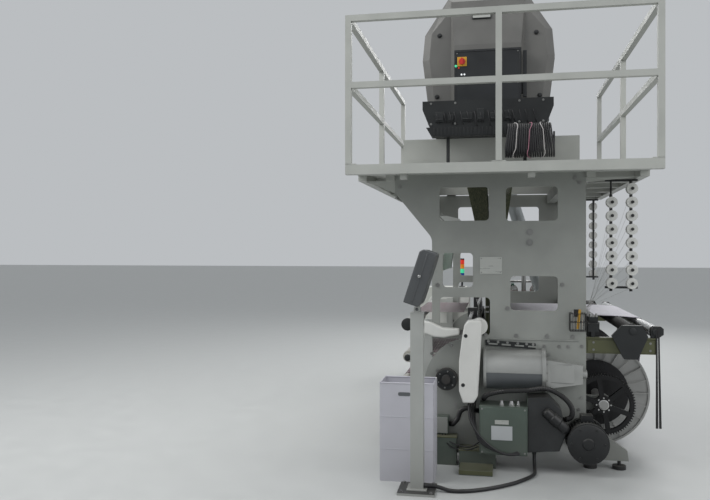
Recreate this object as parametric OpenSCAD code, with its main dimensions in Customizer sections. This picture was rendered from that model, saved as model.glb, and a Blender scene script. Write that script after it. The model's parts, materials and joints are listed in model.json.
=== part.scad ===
// Narrow-fabric power loom: a rapier loom for woven labels, with an electronic
// jacquard head on a gantry, a service platform, a control cabinet and weft feeders.
// Millimetres, Z up, the floor at Z = 0. X runs from the weaver's side to the warp side,
// Y from the drive side to the weft side. The loom is drawn from the outer face of the
// drive-side gantry plate (Y = 0) and then moved so that its footprint is centred.

/* [Gantry] */
// Distance over the outer faces of the two gantry plates
gantry_span = 2500; // [2440:10:2700]
// Height of the top edge of the gantry plates and of the platform's floor
gantry_top = 2065; // [2050:5:2200]
// Thickness of the gantry plates
plate_t = 20; // [12:1:30]
// Reach of the gantry plates towards the warp side
gantry_back = 590; // [580:5:600]
// Reach of the head of the gantry plates towards the weaver
gantry_front = 736; // [700:2:760]
// Reach of the waist of the gantry plates towards the weaver
waist_front = 469; // [460:1:480]
// Corner radius of the windows in the gantry plates
window_r = 28; // [10:1:40]

/* [Loom frame] */
// Height of the loom's side frames
frame_top = 870; // [866:1:880]
// Thickness of the side frames
frame_t = 50; // [40:1:60]
// Height of the levelling feet under the side frames
foot_h = 60; // [50:1:70]
// Radius of the rubber pads under the levelling feet
foot_r = 45; // [30:1:55]
// Side of the square cross tubes
tube_w = 80; // [60:2:90]

/* [Warp beam] */
// Distance of the warp beam's axis behind the loom's centre line
beam_x = 718; // [715:1:725]
// Height of the warp beam's axis
beam_z = 420; // [415:1:440]
// Radius of the warp beam's flanges
flange_r = 400; // [380:1:405]
// Thickness of the warp beam's flanges
flange_t = 10; // [6:1:14]
// Distance between the warp beam's flanges
flange_gap = 1280; // [1200:10:1300]
// Radius of the warp wound on the beam
warp_r = 300; // [200:5:340]
// Module of the beam gear's teeth
gear_m = 6; // [6:1:6]
// Radius of the beam's journals
journal_r = 30; // [25:1:35]
// Radius of the guide roller and the whip roller behind the loom
rear_roller_r = 40; // [34:1:44]

/* [Weaving] */
// Width of the reed
reed_w = 1100; // [1040:10:1140]
// Height of the warp line
weave_z = 1000; // [990:1:1010]
// Height of the reed
reed_h = 110; // [90:1:120]
// Radius of the take-up roller
take_up_r = 85; // [75:1:90]
// Radius of the front rollers
front_roller_r = 41; // [32:1:44]
// Number of woven label strips
strips = 10; // [6:1:12]
// Gap between two label strips
strip_gap = 14; // [8:1:30]

/* [Platform] */
// Half length of the platform from the centre line
platform_x = 1000; // [950:10:1100]
// Width of the walkway on the drive side
walkway = 500; // [420:10:600]
// Height of the platform's edge beams
platform_h = 65; // [50:1:70]
// Height of the guard rail above the platform's underside
rail_h = 1056; // [950:10:1100]
// Side of the guard rail's square tubes
rail_w = 40; // [30:1:50]

/* [Jacquard head] */
// Half width of the head's covers
head_half = 538; // [520:2:545]
// Length of the head
head_len = 750; // [700:10:900]
// Height of the head's covers
cover_h = 895; // [870:5:940]
// Wall of the head's covers
cover_t = 12; // [6:1:16]
// Radius of the sloping cover around the head's drive shaft
shaft_cover_r = 70; // [60:1:80]
// Radius of the head's drive shaft
shaft_r = 15; // [12:1:20]

/* [Pendant] */
// Side of the pendant's post
post_w = 80; // [60:2:90]
// Height of the pendant's post
post_h = 1111; // [1000:1:1200]
// Height of the screen's housing
screen_h = 345; // [280:5:360]
// Width of the screen's housing
screen_w = 260; // [220:5:280]
// Depth of the screen's housing
screen_d = 105; // [90:1:120]

/* [Bin and cabinet] */
// Height of the waste bin
bin_h = 640; // [500:5:700]
// Length of the waste bin
bin_l = 350; // [300:5:360]
// Width of the waste bin
bin_w = 250; // [200:5:255]
// Wall of the waste bin
bin_t = 5; // [4:1:8]
// Height of the control cabinet
cabinet_h = 1060; // [900:10:1200]
// Width of the control cabinet
cabinet_w = 540; // [440:10:560]
// Depth of the control cabinet
cabinet_d = 400; // [350:10:500]
// Thickness of the cabinet's door
door_t = 22; // [16:1:30]
// Height of the signal tower on the cabinet
tower_h = 340; // [300:5:420]

/* [Hidden] */
$fn = 48;

// Clearances
run_fit = 0.05;
slide_gap = 0.3;

// Main stations along Y
mid_y = gantry_span / 2;
reed_y0 = mid_y - reed_w / 2;
reed_y1 = mid_y + reed_w / 2;
inner_y = frame_t;

// Pendant, bin and cabinet stations
post_x = -498;
post_y = -700;
screen_y0 = post_y - screen_w / 2;
screen_tilt = 18;
base_side = 230;
cabinet_x1 = -380;
cabinet_x0 = cabinet_x1 - cabinet_w;
cabinet_y0 = gantry_span + 950;
cabinet_y1 = cabinet_y0 + cabinet_d;

// Footprint, which sets the origin at the middle of the whole loom's base
foot_x0 = -platform_x;
foot_x1 = max(beam_x + flange_r, platform_x);
foot_y0 = min(screen_y0, post_y - base_side / 2, -walkway);
handle_out = 20;
foot_y1 = cabinet_y1 + door_t + handle_out;
origin_x = -(foot_x0 + foot_x1) / 2;
origin_y = -(foot_y0 + foot_y1) / 2;

// Helpers

module placed() { translate([origin_x, origin_y, 0]) children(); }

module both_sides() {
    children();
    translate([0, gantry_span, 0]) mirror([0, 1, 0]) children();
}

// A block between two corners
module block(x0, x1, y0, y1, z0, z1) {
    translate([x0, y0, z0]) cube([x1 - x0, y1 - y0, z1 - z0]);
}

// A profile drawn in X and Z, given its thickness from y0 to y1
module slab_y(y0, y1) {
    translate([0, y1, 0]) rotate([90, 0, 0]) linear_extrude(y1 - y0) children();
}

// A profile drawn in Y and Z, given its thickness from x0 to x1
module slab_x(x0, x1) {
    translate([x0, 0, 0]) rotate([90, 0, 90]) linear_extrude(x1 - x0) children();
}

module rod_y(x, z, r, y0, y1, fn = 48) {
    translate([x, y1, z]) rotate([90, 0, 0]) cylinder(h = y1 - y0, r = r, $fn = fn);
}

module rod_x(y, z, r, x0, x1, fn = 48) {
    translate([x0, y, z]) rotate([0, 90, 0]) cylinder(h = x1 - x0, r = r, $fn = fn);
}

module rod_z(x, y, r, z0, z1, fn = 32) {
    translate([x, y, z0]) cylinder(h = z1 - z0, r = r, $fn = fn);
}

// Points of an arc about a centre
function arc(cx, cz, r, a0, a1, n = 8) =
    [for (i = [0:n]) let (a = a0 + (a1 - a0) * i / n) [cx + r * cos(a), cz + r * sin(a)]];

// A rectangle with round corners
function round_rect(x0, x1, z0, z1, r) = concat(
    arc(x1 - r, z1 - r, r, 0, 90, 5), arc(x0 + r, z1 - r, r, 90, 180, 5),
    arc(x0 + r, z0 + r, r, 180, 270, 5), arc(x1 - r, z0 + r, r, 270, 360, 5));

// The two edges of a strip of a given thickness that follows a path
function unit(v) = v / norm(v);
function path_normal(p, i) = let (
    a = p[max(i - 1, 0)], b = p[min(i + 1, len(p) - 1)], d = unit(b - a)) [-d[1], d[0]];
function strip_outline(p, t) = concat(
    [for (i = [0:len(p) - 1]) p[i]],
    [for (i = [len(p) - 1:-1:0]) p[i] + t * path_normal(p, i)]);

// A round tube swept along a route of points, as one closed body
function cross3(a, b) = [a[1] * b[2] - a[2] * b[1], a[2] * b[0] - a[0] * b[2], a[0] * b[1] - a[1] * b[0]];
function route_dir(p, i) = unit(p[min(i + 1, len(p) - 1)] - p[max(i - 1, 0)]);
function side_of(d) = unit(cross3(d, abs(d[2]) > 0.9 ? [1, 0, 0] : [0, 0, 1]));
function sides_along(p, i, s) = i >= len(p) ? [] :
    let (d = route_dir(p, i), n = unit(s - (s * d) * d)) concat([n], sides_along(p, i + 1, n));
function smooth_point(a, b, c, d, t) =
    0.5 * ((2 * b) + (c - a) * t + (2 * a - 5 * b + 4 * c - d) * t * t + (3 * b - a - 3 * c + d) * t * t * t);
function smooth_route(p, n) = concat(
    [for (i = [0:len(p) - 2], k = [0:n - 1])
        smooth_point(p[max(i - 1, 0)], p[i], p[i + 1], p[min(i + 2, len(p) - 1)], k / n)],
    [p[len(p) - 1]]);
module swept_tube(p, r, sides = 8) {
    ns = sides_along(p, 0, side_of(route_dir(p, 0)));
    rings = len(p);
    pts = [for (i = [0:rings - 1]) let (d = route_dir(p, i), n = ns[i], b = cross3(d, n))
        for (k = [0:sides - 1]) p[i] + r * (cos(360 * k / sides) * n + sin(360 * k / sides) * b)];
    walls = [for (i = [0:rings - 2], k = [0:sides - 1]) let (j = (k + 1) % sides)
        [i * sides + k, i * sides + j, (i + 1) * sides + j, (i + 1) * sides + k]];
    first = [for (k = [sides - 1:-1:0]) k];
    last = [for (k = [0:sides - 1]) (rings - 1) * sides + k];
    polyhedron(points = pts, faces = concat([first], walls, [last]), convexity = 6);
}

// Side frames of the loom

take_x = -363;
take_z = 588;
take_shaft_r = 20;
press_r = 35;
web_t = 2;
web_gap = 1;
press_reach = take_up_r + press_r + web_t + 2 * web_gap;
press_x = take_x + press_reach * cos(60);
press_z = take_z - press_reach * sin(60);
small_journal_r = 10;
rocker_x = -100;
rocker_z = 330;
rocker_r = 25;
gear_teeth = 70;
pinion_teeth = 14;
gear_pitch_r = gear_m * gear_teeth / 2;
pinion_pitch_r = gear_m * pinion_teeth / 2;
pinion_turn = 160;
pinion_x = beam_x + (gear_pitch_r + pinion_pitch_r) * cos(pinion_turn);
pinion_z = beam_z + (gear_pitch_r + pinion_pitch_r) * sin(pinion_turn);
pinion_shaft_r = 12;
front_arc_x = -200;
front_arc_r = 320;
front_arc_z = frame_top - front_arc_r;
frame_front = front_arc_x - front_arc_r;
heel_x = 870;
heel_z = 130;

module side_profile() {
    polygon(concat(
        [[gantry_back, frame_top], [gantry_back, 360], [700, 240], [heel_x - 10, heel_z],
         [heel_x, foot_h], [560, foot_h], [500, 180], [430, 320], [150, 320], [70, 220], [60, foot_h],
         [frame_front + 80, foot_h], [frame_front, 160]],
        [for (p = arc(front_arc_x, front_arc_z, front_arc_r, 180, 90, 14)) p]));
}

module side_frame() {
    difference() {
        slab_y(0, frame_t) side_profile();
        rod_y(take_x, take_z, take_shaft_r + run_fit, -1, frame_t + 1);
        rod_y(press_x, press_z, small_journal_r + run_fit, 10, frame_t + 1);
        rod_y(rocker_x, rocker_z, rocker_r + run_fit, 5, frame_t + 1);
        rod_y(pinion_x, pinion_z, pinion_shaft_r + run_fit, 5, frame_t + 1);
    }
}

module side_frames() {
    color("darkgray") placed() both_sides() side_frame();
}

// Levelling feet: a rubber pad with a stud, under both side frames
foot_xs = [frame_front + 130, -60, 620, 810];
pad_h = 25;
stud_r = 12;
module levelling_feet() {
    color("black") placed() both_sides() for (x = foot_xs) {
        rod_z(x, frame_t / 2, foot_r, 0, pad_h);
        rod_z(x, frame_t / 2, stud_r, pad_h, foot_h, 24);
    }
}

// Gantry plates: two steel plates with five windows each, standing on the side frames

waist_z = 1586;
shoulder_z = 1912;
waist_r = 90;
windows = [
    [-416, -68, 1708, 1946], [49, 402, 1704, 1942], [-393, -180, 1235, 1479],
    [80, 402, 1077, 1318], [-412, -61, 894, 1165]];

// The waist is rounded where the slope meets the upright front edge
slope_dir = unit([waist_front - gantry_front, waist_z - shoulder_z]);
waist_turn = atan2(gantry_front - waist_front, shoulder_z - waist_z);
waist_back = waist_r * tan(waist_turn / 2);

module gantry_plate() {
    slab_y(0, plate_t) difference() {
        polygon(concat(
            [[gantry_back, frame_top], [gantry_back, gantry_top], [-gantry_front, gantry_top],
             [-gantry_front, shoulder_z]],
            [for (p = arc(-waist_front - waist_r, waist_z - waist_back, waist_r, waist_turn, 0, 6)) p],
            [[-waist_front, frame_top]]));
        for (w = windows) polygon(round_rect(w[0], w[1], w[2], w[3], window_r));
    }
}

module gantry_plates() {
    color("darkgray") placed() both_sides() gantry_plate();
}

// Cross members: tubes between the side frames and between the gantry plates

tie_z = 460;
rear_tie_x = 200;
front_tie_x = -440;
top_tie_h = 90;
front_header_z = 1870;
header_t = 12;
platform_z = gantry_top - platform_h;
deck_z = gantry_top;
module cross_members() {
    color("darkgray") placed() {
        block(rear_tie_x, rear_tie_x + tube_w, frame_t, gantry_span - frame_t, 380, 380 + tube_w + 10);
        block(-60, 20, frame_t, gantry_span - frame_t, tie_z, tie_z + tube_w);
        block(front_tie_x, front_tie_x + tube_w, frame_t, gantry_span - frame_t, 190, 190 + tube_w);
        block(480, 480 + tube_w, plate_t, gantry_span - plate_t, gantry_top - top_tie_h, gantry_top);
        block(-gantry_front, -gantry_front + header_t, plate_t, gantry_span - plate_t,
              front_header_z, gantry_top);
        block(gantry_back - header_t, gantry_back, plate_t, gantry_span - plate_t,
              platform_z - 40, gantry_top);
        block(-gantry_front + header_t, -gantry_front + header_t + tube_w, plate_t, gantry_span - plate_t,
              gantry_top - top_tie_h, gantry_top);
    }
}

// Platform: edge beams, joists and a floor round three sides of the gantry

floor_t = 5;
beam_w = 60;
platform_y1 = gantry_span - 100;
joist_rise = 38;
spool_y = 200;
joists = 5;
bracket_t = 12;
bracket_tip = 40;
heel_w = beam_w / 2;
toe_w = beam_w / 6;

// A bracket under a walkway, with its heel and toe let into the beams above; out is 1 or -1, the way
// from the gantry to the tip
module bracket(x, depth, out) {
    tip_x = out * (platform_x - bracket_tip);
    polygon([
        [x, platform_z + floor_t], [x, platform_z - depth], [tip_x, platform_z], [tip_x, platform_z + floor_t],
        [tip_x - out * toe_w, platform_z + floor_t], [tip_x - out * toe_w, platform_z],
        [x + out * heel_w, platform_z], [x + out * heel_w, platform_z + floor_t]]);
}
module walkway_leg(x0, x1) {
    block(x0, x1, 0, platform_y1, deck_z - floor_t, deck_z);
    block(x0, x0 + beam_w, -beam_w / 2, platform_y1, platform_z, deck_z - floor_t / 2);
    block(x1 - beam_w, x1, -beam_w / 2, platform_y1, platform_z, deck_z - floor_t / 2);
    for (i = [1:joists]) let (y = platform_y1 * i / joists)
        block(x0 + beam_w / 2, x1 - beam_w / 2, y - beam_w, y, platform_z, deck_z - floor_t / 2);
}
module platform() {
    color("gainsboro") placed() {
        block(-platform_x, platform_x, -walkway, 0, deck_z - floor_t, deck_z);
        block(-platform_x, platform_x, -walkway, beam_w - walkway, platform_z, deck_z - floor_t / 2);
        block(-platform_x, platform_x, -beam_w, 0, platform_z + joist_rise, deck_z - floor_t / 2);
        for (i = [0:joists]) let (x = -platform_x + (2 * platform_x - beam_w) * i / joists)
            block(x, x + beam_w, -walkway + beam_w / 2, -beam_w / 2,
                  platform_z + joist_rise, deck_z - floor_t / 2);
        walkway_leg(-platform_x, -gantry_front);
        walkway_leg(gantry_back, platform_x);
        for (x = [-640, 184])
            block(x, x + 45, beam_w - walkway - 20, beam_w - walkway + 60, platform_z - 32, platform_z + 20);
        for (y = [spool_y, gantry_span - spool_y])
            block(gantry_back + beam_w / 2, platform_x - beam_w / 2, y - 20, y + 20,
                  platform_z, deck_z - floor_t / 2);
        for (y = [4, mid_y - bracket_t / 2, platform_y1 - bracket_t - 2]) slab_y(y, y + bracket_t) {
            bracket(-gantry_front, 90, -1);
            bracket(gantry_back, 30, 1);
        }
    }
}

// Guard rail: square posts with a top rail and a knee rail on three sides

rail_top = platform_z + rail_h;
knee_z = platform_z + rail_h * 0.58;
rail_post_y = 925;
module rail_bar(x0, x1, y0, y1, z) { block(x0, x1, y0, y1, z - rail_w, z); }
module guard_rail() {
    x1 = platform_x;
    x0 = platform_x - rail_w;
    y0 = -walkway;
    y1 = platform_y1 - rail_w;
    color("gainsboro") placed() {
        for (x = [-x1, x0], y = [y0, rail_post_y, y1])
            block(x, x + rail_w, y, y + rail_w, deck_z, rail_top);
        block(-rail_w / 2, rail_w / 2, y0, y0 + rail_w, deck_z, rail_top);
        for (z = [knee_z, rail_top]) {
            rail_bar(-x0, x0, y0, y0 + rail_w, z);
            for (x = [-x1, x0]) rail_bar(x, x + rail_w, y0 + rail_w, y1, z);
        }
    }
}

// Deck under the head: a ring of box beams on the top ties of the gantry

deck_h = 245;
deck_wall = 30;
deck_y0 = 120;
deck_x0 = -gantry_front + 46;
deck_x1 = gantry_back - 30;
module head_deck() {
    color("gainsboro") placed() difference() {
        block(deck_x0, deck_x1, deck_y0, gantry_span - deck_y0, deck_z, deck_z + deck_h);
        block(deck_x0 + deck_wall, deck_x1 - deck_wall, deck_y0 + deck_wall,
              gantry_span - deck_y0 - deck_wall, deck_z - 1, deck_z + deck_h + 1);
    }
}

// Jacquard head: base, covers, modules and the electric box

head_x = -90;
head_y0 = mid_y - head_len / 2;
head_y1 = mid_y + head_len / 2;
base_z = deck_z + 235;
ledge_h = 65;
rail_low = base_z + ledge_h;
rail_high = rail_low + 185;
base_top = rail_low + 335;
cover_top = base_top + cover_h;
base_y0 = -60;
base_y1 = gantry_span + 370;
base_x0 = -530;
base_x1 = 370;
base_rail = 80;
leg_r = 12;
leg_xs_near = [-355, 180];
leg_xs_far = [-486, 48];
hook_x0 = -430;
hook_x1 = 240;
hook_beam = 30;
hook_y0 = head_y0 + hook_beam;
hook_y1 = head_y1 - hook_beam;

module head_leg(x, y) {
    rod_z(x, y, leg_r, deck_z + 8, base_z, 24);
    block(x - 45, x + 45, y - 45, y + 45, deck_z, deck_z + 8);
}

// Cross beam of the base, and its two rails, with their lower outer edges sloping in
base_slope = 50;
base_chin = 125;
module base_end(y0, y1) {
    slab_y(y0, y1) polygon([
        [base_x0, rail_high], [base_x1, rail_high], [base_x1, rail_low + base_chin],
        [base_x1 - base_slope, rail_low], [base_x0 + base_slope, rail_low], [base_x0, rail_low + base_chin]]);
}
module base_rails() {
    intersection() {
        base_end(base_y0, base_y1);
        for (x = [base_x0, base_x1 - base_rail])
            block(x, x + base_rail, base_y0, base_y1, rail_low, rail_high);
    }
}

module head_base() {
    color("#222626") placed() {
        difference() {
            union() {
                base_rails();
                base_end(base_y0 - 10, base_y0 + 70);
                base_end(gantry_span + 120, gantry_span + 200);
                both_sides() slab_y(base_y0 - 10, plate_t) polygon([
                    [base_x0 + 25, rail_low], [base_x1 - 25, rail_low],
                    [base_x1 - 63, base_z], [base_x0 + 63, base_z]]);
                for (y = [head_y0, hook_y1]) base_end(y, y + hook_beam);
                block(head_x - head_half + 48, head_x + head_half - 48, head_y0, head_y1,
                      rail_high, base_top);
            }
            block(hook_x0, hook_x1, hook_y0, hook_y1, rail_low - 1, base_top + 1);
            block(base_x0 - 1, base_x0 + 6, base_y0 + 120, base_y0 + 620, rail_high - 46, rail_high - 12);
            block(base_x1 - 6, base_x1 + 1, base_y0 + 120, base_y0 + 620, rail_high - 46, rail_high - 12);
        }
        for (x = leg_xs_near) head_leg(x, plate_t / 2);
        for (x = leg_xs_far) head_leg(x, gantry_span - plate_t / 2);
    }
}

// Outline of the head's covers, widest under the middle, with sloping shoulders
function head_outline(inset) = let (w = head_half - inset, z0 = base_top, z1 = cover_top - inset) [
    [head_x - w + 46, z0], [head_x - w, z0 + 385], [head_x - w + 20, z0 + 600], [head_x - w + 147, z0 + 750],
    [head_x - w + 215, z1], [head_x + w - 215, z1], [head_x + w - 147, z0 + 750], [head_x + w - 20, z0 + 600],
    [head_x + w, z0 + 385], [head_x + w - 46, z0]];

end_cover = 130;
panel_half = 298;
panel_out = 60;
rim_in = 60;
rim_deep = 45;
module cover_block(inset, y0, y1) {
    hull() {
        slab_y(y0, y0 + 1) polygon(head_outline(rim_in + inset));
        slab_y(y0 + rim_deep, y1) polygon(head_outline(inset));
    }
}
module end_cover_shell() {
    difference() {
        cover_block(0, head_y0, head_y0 + end_cover);
        cover_block(cover_t, head_y0 + cover_t, head_y0 + end_cover + 1);
    }
    // The raised middle panel comes forward towards its middle
    hull() {
        block(head_x - panel_half, head_x + panel_half, head_y0 - 2, head_y0 + 1,
              base_top + 10, cover_top - 40);
        block(head_x - panel_half + 30, head_x + panel_half - 30, head_y0 - panel_out, head_y0, base_top + 30,
              base_top + 480);
    }
}

module head_cover_near() { color("gray") placed() end_cover_shell(); }

module head_cover_far() {
    color("gray") placed() translate([0, head_y0 + head_y1, 0]) mirror([0, 1, 0]) end_cover_shell();
}

// Side panels with slanted louvres, between the two end covers
louvres = 7;
louvre_pitch = 70;
module head_side_panels() {
    y0 = head_y0 + end_cover;
    y1 = head_y1 - end_cover;
    color("#4a4d4f") placed() difference() {
        slab_y(y0, y1) polygon(head_outline(6));
        slab_y(y0 - 1, y1 + 1) polygon(head_outline(6 + cover_t));
        for (i = [0:louvres - 1])
            translate([head_x, mid_y, base_top + 120 + louvre_pitch * i]) rotate([12, 0, 0])
                cube([2 * head_half + 40, 330, 12], center = true);
    }
}

// Electric box on the near end cover, with the main switch
box_x0 = -354;
box_x1 = 176;
box_out = 70;
box_top = base_top + 420;
box_y0 = head_y0 - panel_out - box_out;
knob_x = -292;
knob_z = base_top + 325;
knob_r = 26;
module head_control_box() {
    color("#2b2d30") placed() difference() {
        union() {
            block(box_x0, box_x1, box_y0, head_y0 - panel_out, base_top - 60, box_top);
            block(box_x1 + 15, box_x1 + 44, box_y0 + 25, head_y0 - panel_out, base_top + 30, box_top - 20);
            block(box_x1, box_x1 + 15, box_y0 + 40, head_y0 - panel_out, base_top + 60, base_top + 200);
            block(box_x0, box_x1, head_y0 - panel_out, head_y0, base_top - 60, base_top);
        }
        rod_y(knob_x, knob_z, 6 + run_fit, box_y0 - 1, box_y0 + 20, 24);
    }
}

module isolator_knob() {
    color("red") placed() {
        rod_y(knob_x, knob_z, 6, box_y0 - 1, box_y0 + 18, 24);
        rod_y(knob_x, knob_z, knob_r, box_y0 - 10, box_y0 - 1, 32);
        block(knob_x - 7, knob_x + 7, box_y0 - 32, box_y0 - 10, knob_z - knob_r, knob_z + knob_r);
    }
}

// Drive of the head: gearboxes at the weft side and a shaft in a sloping cover

shaft_top = [84, gantry_span + 350, gantry_top + 145];
shaft_foot = [507, gantry_span + 350, 860];
shaft_vec = shaft_top - shaft_foot;
shaft_len = norm(shaft_vec);
shaft_lean = atan2(shaft_vec[0], shaft_vec[2]);
module along_shaft() { translate(shaft_foot) rotate([0, shaft_lean, 0]) children(); }

gear_y0 = gantry_span + 200;
gear_len = 400;
gear_y1 = gear_y0 + gear_len;
gear_low = gantry_top + 155;
gear_case_h = 390;
gear_mid = gear_low + gear_case_h;
module jacquard_gearboxes() {
    color("#333537") placed() difference() {
        union() {
            block(-175, 126, gear_y0, gear_y1, gear_low, gear_mid);
            block(-190, 140, gear_y0 + 40, gear_y1, gear_mid, gear_mid + 210);
            slab_x(-150, 110) polygon([
                [gear_y0 - 300, rail_high], [gear_y0 - 300, rail_high + 30], [gear_y0 + 40, gear_mid + 190],
                [gear_y0 + 40, rail_high]]);
            block(126, 260, gear_y0 + 100, gear_y0 + 250, gear_low + 130, gear_low + 320);
            block(400, 590, gantry_span, gantry_span + 450, 640, 850);
            rod_y(495, 740, 90, gantry_span + 450, gantry_span + 490);
        }
        along_shaft() translate([0, 0, shaft_len - 40]) cylinder(h = 130, r = shaft_r + run_fit);
        along_shaft() translate([0, 0, -60]) cylinder(h = 100, r = shaft_r + run_fit);
    }
}

strap_z = [1000, 1500];
strap_half = 15;
module shaft_cover() {
    color("silver") placed() difference() {
        union() {
            along_shaft() translate([0, 0, 32]) cylinder(h = shaft_len - 64, r = shaft_cover_r);
            // Two straps hold the cover to the gantry plate
            for (z = strap_z) let (x = shaft_foot[0] + (z - shaft_foot[2]) * shaft_vec[0] / shaft_vec[2])
                block(x - 25, x + 25, gantry_span, shaft_foot[1] - shaft_cover_r + 15,
                      z - strap_half, z + strap_half);
        }
        along_shaft() translate([0, 0, 31]) cylinder(h = shaft_len - 62, r = shaft_cover_r - 5);
    }
}

module jacquard_shaft() {
    color("gray") placed() along_shaft() {
        translate([0, 0, -50]) cylinder(h = shaft_len + 120, r = shaft_r);
        for (z = [120, shaft_len - 200]) translate([0, 0, z]) cylinder(h = 80, r = 34);
    }
}

// Harness: two groups of cords from the head through the comber board to the springs

comber_z = 1290;
comber_t = 20;
group_t = 58;
front_group_x = -120;
rear_group_x = -40;
harness_top = rail_high + 20;
eye_half = 14;
spring_top = 700;
module harness_group(x, top_x0, top_x1) {
    hull() {
        block(x, x + group_t, reed_y0, reed_y1, comber_z + 100, comber_z + 104);
        block(top_x0, top_x1, hook_y0 + 85, hook_y1 - 85, harness_top - 4, harness_top);
    }
    block(x, x + group_t, reed_y0, reed_y1, comber_z - 80, comber_z + 100);
    block(x + eye_half, x + group_t - eye_half, reed_y0, reed_y1, spring_top - 60, comber_z - 80);
}
module harness_front() { color("darkolivegreen") placed() harness_group(front_group_x, -390, -130); }
module harness_rear() { color("darkolivegreen") placed() harness_group(rear_group_x, -80, 200); }

module comber_board() {
    color("burlywood") placed() difference() {
        block(-160, 60, plate_t, gantry_span - plate_t, comber_z, comber_z + comber_t);
        for (x = [front_group_x, rear_group_x])
            block(x - slide_gap, x + group_t + slide_gap, reed_y0 - slide_gap, reed_y1 + slide_gap,
                  comber_z - 1, comber_z + comber_t + 1);
    }
}

module harness_springs() {
    color("dimgray") placed() difference() {
        block(-140, 40, reed_y0 - 15, reed_y1 + 15, tie_z + tube_w, spring_top);
        for (x = [front_group_x, rear_group_x])
            block(x + eye_half - 1, x + group_t - eye_half + 1, reed_y0 - 1, reed_y1 + 1,
                  spring_top - 110, spring_top + 1);
    }
}

// Sley: a rocker shaft with two swords and the beam that carries the reed

reed_x = -160;
reed_t = 10;
sley_top = weave_z - 35;
sword_t = 36;
sword_y0 = reed_y0 - 60;
sword_y1 = reed_y1 + 60;
module sley() {
    color("slategray") placed() {
        rod_y(rocker_x, rocker_z, rocker_r, 6, gantry_span - 6);
        for (y = [sword_y0, sword_y1 - sword_t]) {
            slab_y(y, y + sword_t) polygon([
                [rocker_x - 45, rocker_z], [rocker_x + 35, rocker_z], [reed_x + 25, sley_top - 60],
                [reed_x - 22, sley_top - 60]]);
            rod_y(rocker_x, rocker_z, 45, y, y + sword_t);
        }
        block(reed_x - 22, reed_x + 25, sword_y0, sword_y1, sley_top - 60, sley_top);
    }
}

module reed() {
    color("lightgray") placed() {
        block(reed_x - reed_t, reed_x + reed_t, reed_y0, reed_y1, sley_top, sley_top + 14);
        block(reed_x - reed_t, reed_x + reed_t, reed_y0, reed_y1, sley_top + reed_h - 14, sley_top + reed_h);
        block(reed_x - 4, reed_x + 4, reed_y0, reed_y1, sley_top + 14, sley_top + reed_h - 14);
    }
}

// Rapiers: two bars that carry the weft in from both sides and meet in the middle

rapier_x = -212;
rapier_w = 22;
rapier_h = 14;
rapier_z = weave_z + 8;
rapier_rest = reed_y0 - 20;
rapier_len = 650;
guide_y0 = reed_y0 - 155;
guide_y1 = guide_y0 + 60;
module rapier_bar() {
    block(rapier_x, rapier_x + rapier_w, rapier_rest - rapier_len, rapier_rest - 45,
          rapier_z, rapier_z + rapier_h);
    block(rapier_x + 2, rapier_x + rapier_w - 2, rapier_rest - 45, rapier_rest, rapier_z + 2,
          rapier_z + rapier_h + 8);
}
module rapier_near() { color("silver") placed() rapier_bar(); }
module rapier_far() {
    color("silver") placed() translate([0, gantry_span, 0]) mirror([0, 1, 0]) rapier_bar();
}

module rapier_guides() {
    color("dimgray") placed() both_sides() {
        difference() {
            block(rapier_x - 25, rapier_x + rapier_w + 25, guide_y0, guide_y1, rapier_z - 30, rapier_z + 40);
            block(rapier_x - slide_gap, rapier_x + rapier_w + slide_gap, guide_y0 - 1, guide_y1 + 1,
                  rapier_z - slide_gap, rapier_z + rapier_h + slide_gap);
        }
        block(rapier_x - 25, rapier_x + rapier_w + 25, frame_t, guide_y1, rapier_z - 60, rapier_z - 30);
        block(rapier_x - 25, rapier_x + rapier_w + 25, frame_t, frame_t + 20, frame_top - 90, rapier_z - 60);
    }
}

// Drive side of the loom

housing_z = 671;
housing_r = 137;
housing_y = -25;
module drive_housing() {
    color("silver") placed() difference() {
        union() {
            rod_x(housing_y, housing_z, housing_r, -103, 315, 72);
            rod_x(housing_y, housing_z, housing_r + 14, 290, 315, 72);
            rod_x(housing_y, housing_z, housing_r + 8, -103, -85, 72);
            hull() {
                block(315, 330, -130, 0, 560, 750);
                block(520, 560, -95, 0, 590, 715);
            }
        }
        block(-200, 700, 0, 400, 400, 1000);
    }
}

// Tall cover over the drive-side rapier's tape wheel
module drive_cover() {
    color("white") placed() {
        slab_y(-190, -70) polygon([
            [-207, 1014], [-122, 1020], [-113, 990], [-126, 742], [-140, 503], [-167, 454], [-241, 451],
            [-268, 533], [-268, 738], [-248, 897], [-232, 985]]);
        block(-235, -160, -70, 0, 540, 850);
        rod_y(-134, 965, 58, -70, 0);
    }
}

// Shields at the front corners: an arm on the drive side, a full shield on the weft side
module front_shields() {
    color("white") placed() {
        slab_y(-70, 0) polygon([
            [-540, 1000], [-463, 985], [-390, 950], [-272, 946], [-272, 905], [-380, 882],
            [-450, 886], [-500, 905], [-540, 910]]);
        difference() {
            slab_y(gantry_span, gantry_span + 90) polygon(concat(
                [[-300, 330], [-300, 1045]], arc(-615, 925, 120, 90, 180, 8), [[-735, 420], [-650, 330]]));
            slab_y(gantry_span + 55, gantry_span + 91) polygon(round_rect(-650, -400, 440, 900, 60));
        }
    }
}

// Electric boxes and plinths along the drive side
module drive_box() {
    color("darkseagreen") placed() {
        block(-130, 190, -200, 0, 113, 440);
        slab_y(-170, 0) polygon([[190, 130], [400, 150], [440, 260], [410, 430], [330, 510], [190, 500]]);
        block(-434, -348, -60, 0, 204, 329);
        for (b = [[-440, -290, -110, 190], [-270, -20, -140, 113]]) {
            block(b[0], b[1], b[2], 0, pad_h + 5, b[3]);
            block(b[0], b[1], b[2], frame_t / 2 - foot_r - 5, 0, pad_h + 5);
        }
        // Low plate on the floor in front of the second block
        block(-262, -40, -330, -140, 0, 34);
    }
}

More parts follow.
